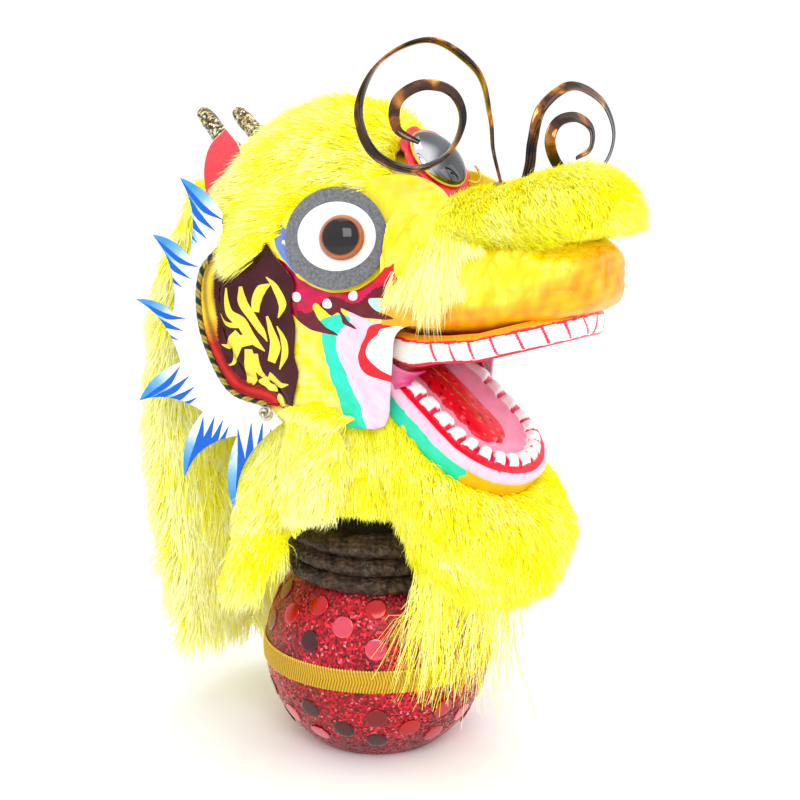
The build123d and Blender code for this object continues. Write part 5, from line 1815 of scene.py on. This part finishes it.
def build():
    """Every piece, in the order of the object from the ground up."""
    bare_wood = wood("bamboo")
    head_yellow = paint("head_lacquer", (0.97, 0.83, 0.01), rough=0.25, grain=0.10, scale=90, bump=0.4,
                        Coat_Weight=0.6)
    papier = paint("papier_mache", (0.62, 0.55, 0.42), rough=0.85, grain=0.18, scale=120, bump=0.5)
    plaster = paint("plaster", (0.80, 0.78, 0.72), rough=0.9, grain=0.06, scale=200, bump=0.3)
    black = paint("black_cloth", (0.012, 0.011, 0.012), rough=0.9, grain=0.4, scale=700, bump=0.6,
                  Sheen_Weight=0.3)
    steel = paint("washer_steel", (0.55, 0.55, 0.56), rough=0.3, grain=0.1, scale=300, bump=0.05,
                  Metallic=1.0)
    washer = paint("eye_washer_plastic", (0.85, 0.85, 0.82), rough=0.4, grain=0.05, scale=200)
    gold = paint("gold_thread", (0.80, 0.52, 0.06), rough=0.32, grain=0.25, scale=500, bump=0.5,
                 Metallic=0.7)
    sequins = sequin_fabric("sequin_cloth")
    disc_paint = painted_material("sequin_disc", rough=0.08, coat=0.8, wrinkle=0.05, scale=120,
                                  metallic=0.75)
    braid_paint = painted_material("braid_thread", rough=0.35, coat=0.0, wrinkle=0.4, scale=900,
                                   metallic=0.55)
    plush = painted_material("brown_plush", rough=0.36, coat=0.30, wrinkle=1.0, scale=380)
    lacquer = painted_material("lacquer", rough=0.28, coat=0.22, wrinkle=0.5, scale=50)
    teeth_paint = painted_material("tooth_gloss", rough=0.32, coat=0.15, wrinkle=0.16, scale=70)
    card_paint = painted_material("fin_card_paint", rough=0.55, coat=0.0, wrinkle=0.06, scale=300)
    cord_paint = painted_material("cord_thread", rough=0.38, coat=0.1, wrinkle=0.4, scale=900, metallic=0.45)
    foil = foil_material()
    glass = painted_material("eye_glass", rough=0.05, coat=0.25, wrinkle=0.0, scale=60)
    felt_grey = paint("grey_felt", (0.15, 0.155, 0.17), rough=0.95, grain=0.35, scale=900, bump=0.8,
                      Sheen_Weight=0.35)
    felt_red = paint("coral_felt", (0.90, 0.055, 0.085), rough=0.85, grain=0.14, scale=500, bump=0.7,
                     Sheen_Weight=0.3)
    petal_red = paint("petal_red", (0.78, 0.012, 0.03), rough=0.35, grain=0.22, scale=160, bump=0.4,
                      Coat_Weight=0.3)
    card_white = paint("white_card", (0.93, 0.93, 0.95), rough=0.35, grain=0.02, scale=300, bump=0.05,
                       Coat_Weight=0.3)
    mirror = painted_reflection_mirror("mirror_glass")
    silver = paint("knot_silver", (0.62, 0.58, 0.46), rough=0.28, grain=0.3, scale=600, bump=0.3,
                   Metallic=0.9)
    socket_paint = paint("socket_brass", (0.45, 0.30, 0.08), rough=0.35, grain=0.2, scale=400, Metallic=0.8)
    glitter = glitter_paint("glitter")
    bronze = bronze_film("bronze_film")
    backing = paint("fur_backing", (0.96, 0.84, 0.0), rough=0.95, grain=0.20, scale=420, bump=1.0)
    shades = fur_materials()

    dress(bare_wood, "neck_post", "base_disc", "top_disc")
    dress(plaster, "base_weight")
    dress(papier, "ball_core", "neck_web", "neck_socket")
    # painted shade: the papier-mâché neck cone is dressed in the sleeve's black to stand for the deep shade
    # under the head
    dress(black, "neck_sleeve", "neck_cone")
    dress(steel, "swivel_washer_lower", "swivel_washer_upper", "retaining_pin", "jaw_pins")
    dress(washer, "eye_washers")
    dress(sequins, "sequin_cover")
    dress(socket_paint, "antenna_socket_left", "antenna_socket_right")
    dress(head_yellow, "head_shell")

    paillettes(disc_paint)
    braid(braid_paint)
    turn = lap(900)
    rim_low, rim_high = box_of("rim_piping")
    reach, height = (rim_high[0] - rim_low[0]) / 2 - 1.0, (rim_low[2] + rim_high[2]) / 2
    rim = np.stack([reach * np.cos(turn), reach * np.sin(turn), np.full(900, height)], -1)
    rim_piece = twisted_cord("rim_cord", rim, 0.95, 2.4, "base", cord_paint,
                             [(0.85, 0.58, 0.10), (0.45, 0.28, 0.04)], closed=True, lobes=2)
    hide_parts("rim_piping")
    wrap(plush)

    snout = snout_mesh(lacquer)
    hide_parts("snout_shell")
    teeth = upper_teeth_mesh(teeth_paint)
    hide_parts("upper_teeth")
    palate = palate_mesh(lacquer)
    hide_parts("palate")
    jaw = jaw_mesh(teeth_paint)
    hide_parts("lower_teeth", "lower_gum", "tongue", "jaw_shell")
    for side, end in ((-1, "right"), (1, "left")):
        skin = head_skin(side, f"painted_cheek_{end}", lacquer)
        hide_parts(f"jaw_bracket_{end}")
        panel = foil_panel(side, f"temple_foil_{end}", foil)
        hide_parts(f"cheek_foil_{end}")
        card = fin_card(side, f"fin_card_{end}", card_paint)
        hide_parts(f"fin_{end}")
        arc = smooth_line(CHEEK_ARC, 0.35)
        line = placed(cheek_frame(side), arc[:, 0], arc[:, 1], 2.2)
        cord = twisted_cord(f"foil_cord_{end}", line, 1.25, 3.4, "head", cord_paint,
                            [(0.02, 0.05, 0.015), (0.55, 0.42, 0.08)], lobes=2)
        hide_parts(f"cheek_piping_{end}")
        t = lap(160)
        reach = 1.9 * (1.25 + 0.5 * np.cos(3 * t))
        knot = placed(cheek_frame(side), reach * np.cos(2 * t) * 0.8, -34.6 + reach * np.sin(2 * t) * 0.8,
                      3.4 + 1.2 * np.sin(3 * t))
        knot_piece = tube(f"silver_knot_{end}", knot, 0.75, "head", [silver], 10, closed=True)
        if side < 0:
            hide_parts("cheek_beads")
        mouth_fold(side, f"mouth_fold_{end}", lacquer)
        eye(side, felt_grey, card_white, glass)
        felt_ear(side, felt_red, card_white)
        horn(side, glitter)
        brow_fur(side, f"brow_hair_{end}", shades)
        muzzle_fur(side, f"muzzle_hair_{end}", shades, f"muzzle_tuft_{end}")
        cheek_fur(side, f"ruff_{end}", shades, backing, f"fur_cheek_{end}")
    forehead(petal_red, mirror, gold)
    near = antenna("antenna_right_foil", "antenna_right", (-12, -76, 262.4), (-0.574, 0.819), (0.819, 0.574),
                   (0.9, 0.9), (12, 18, 26, 40, 22, 10, 38, 55, 40, 20, 45, 70, 80, 60), bronze)
    far = antenna("antenna_left_foil", "antenna_left", (14, -70, 258.4), (0.974, -0.227), (-0.227, -0.974),
                  (0.81, 0.68), (25, 30, 40, 60, 60, 50, 45, 60, 70, 60), bronze)
    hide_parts("antenna_right")
    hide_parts("antenna_left")
    crown_fur(shades, backing)
    snout_fur(shades, backing)
    mane_fur(shades, backing)
    nape_fur(shades)
    throat_fur(shades, backing)
    chin_fur(shades, backing)
    beard_fur(shades)


make_camera()
make_stage()
build()
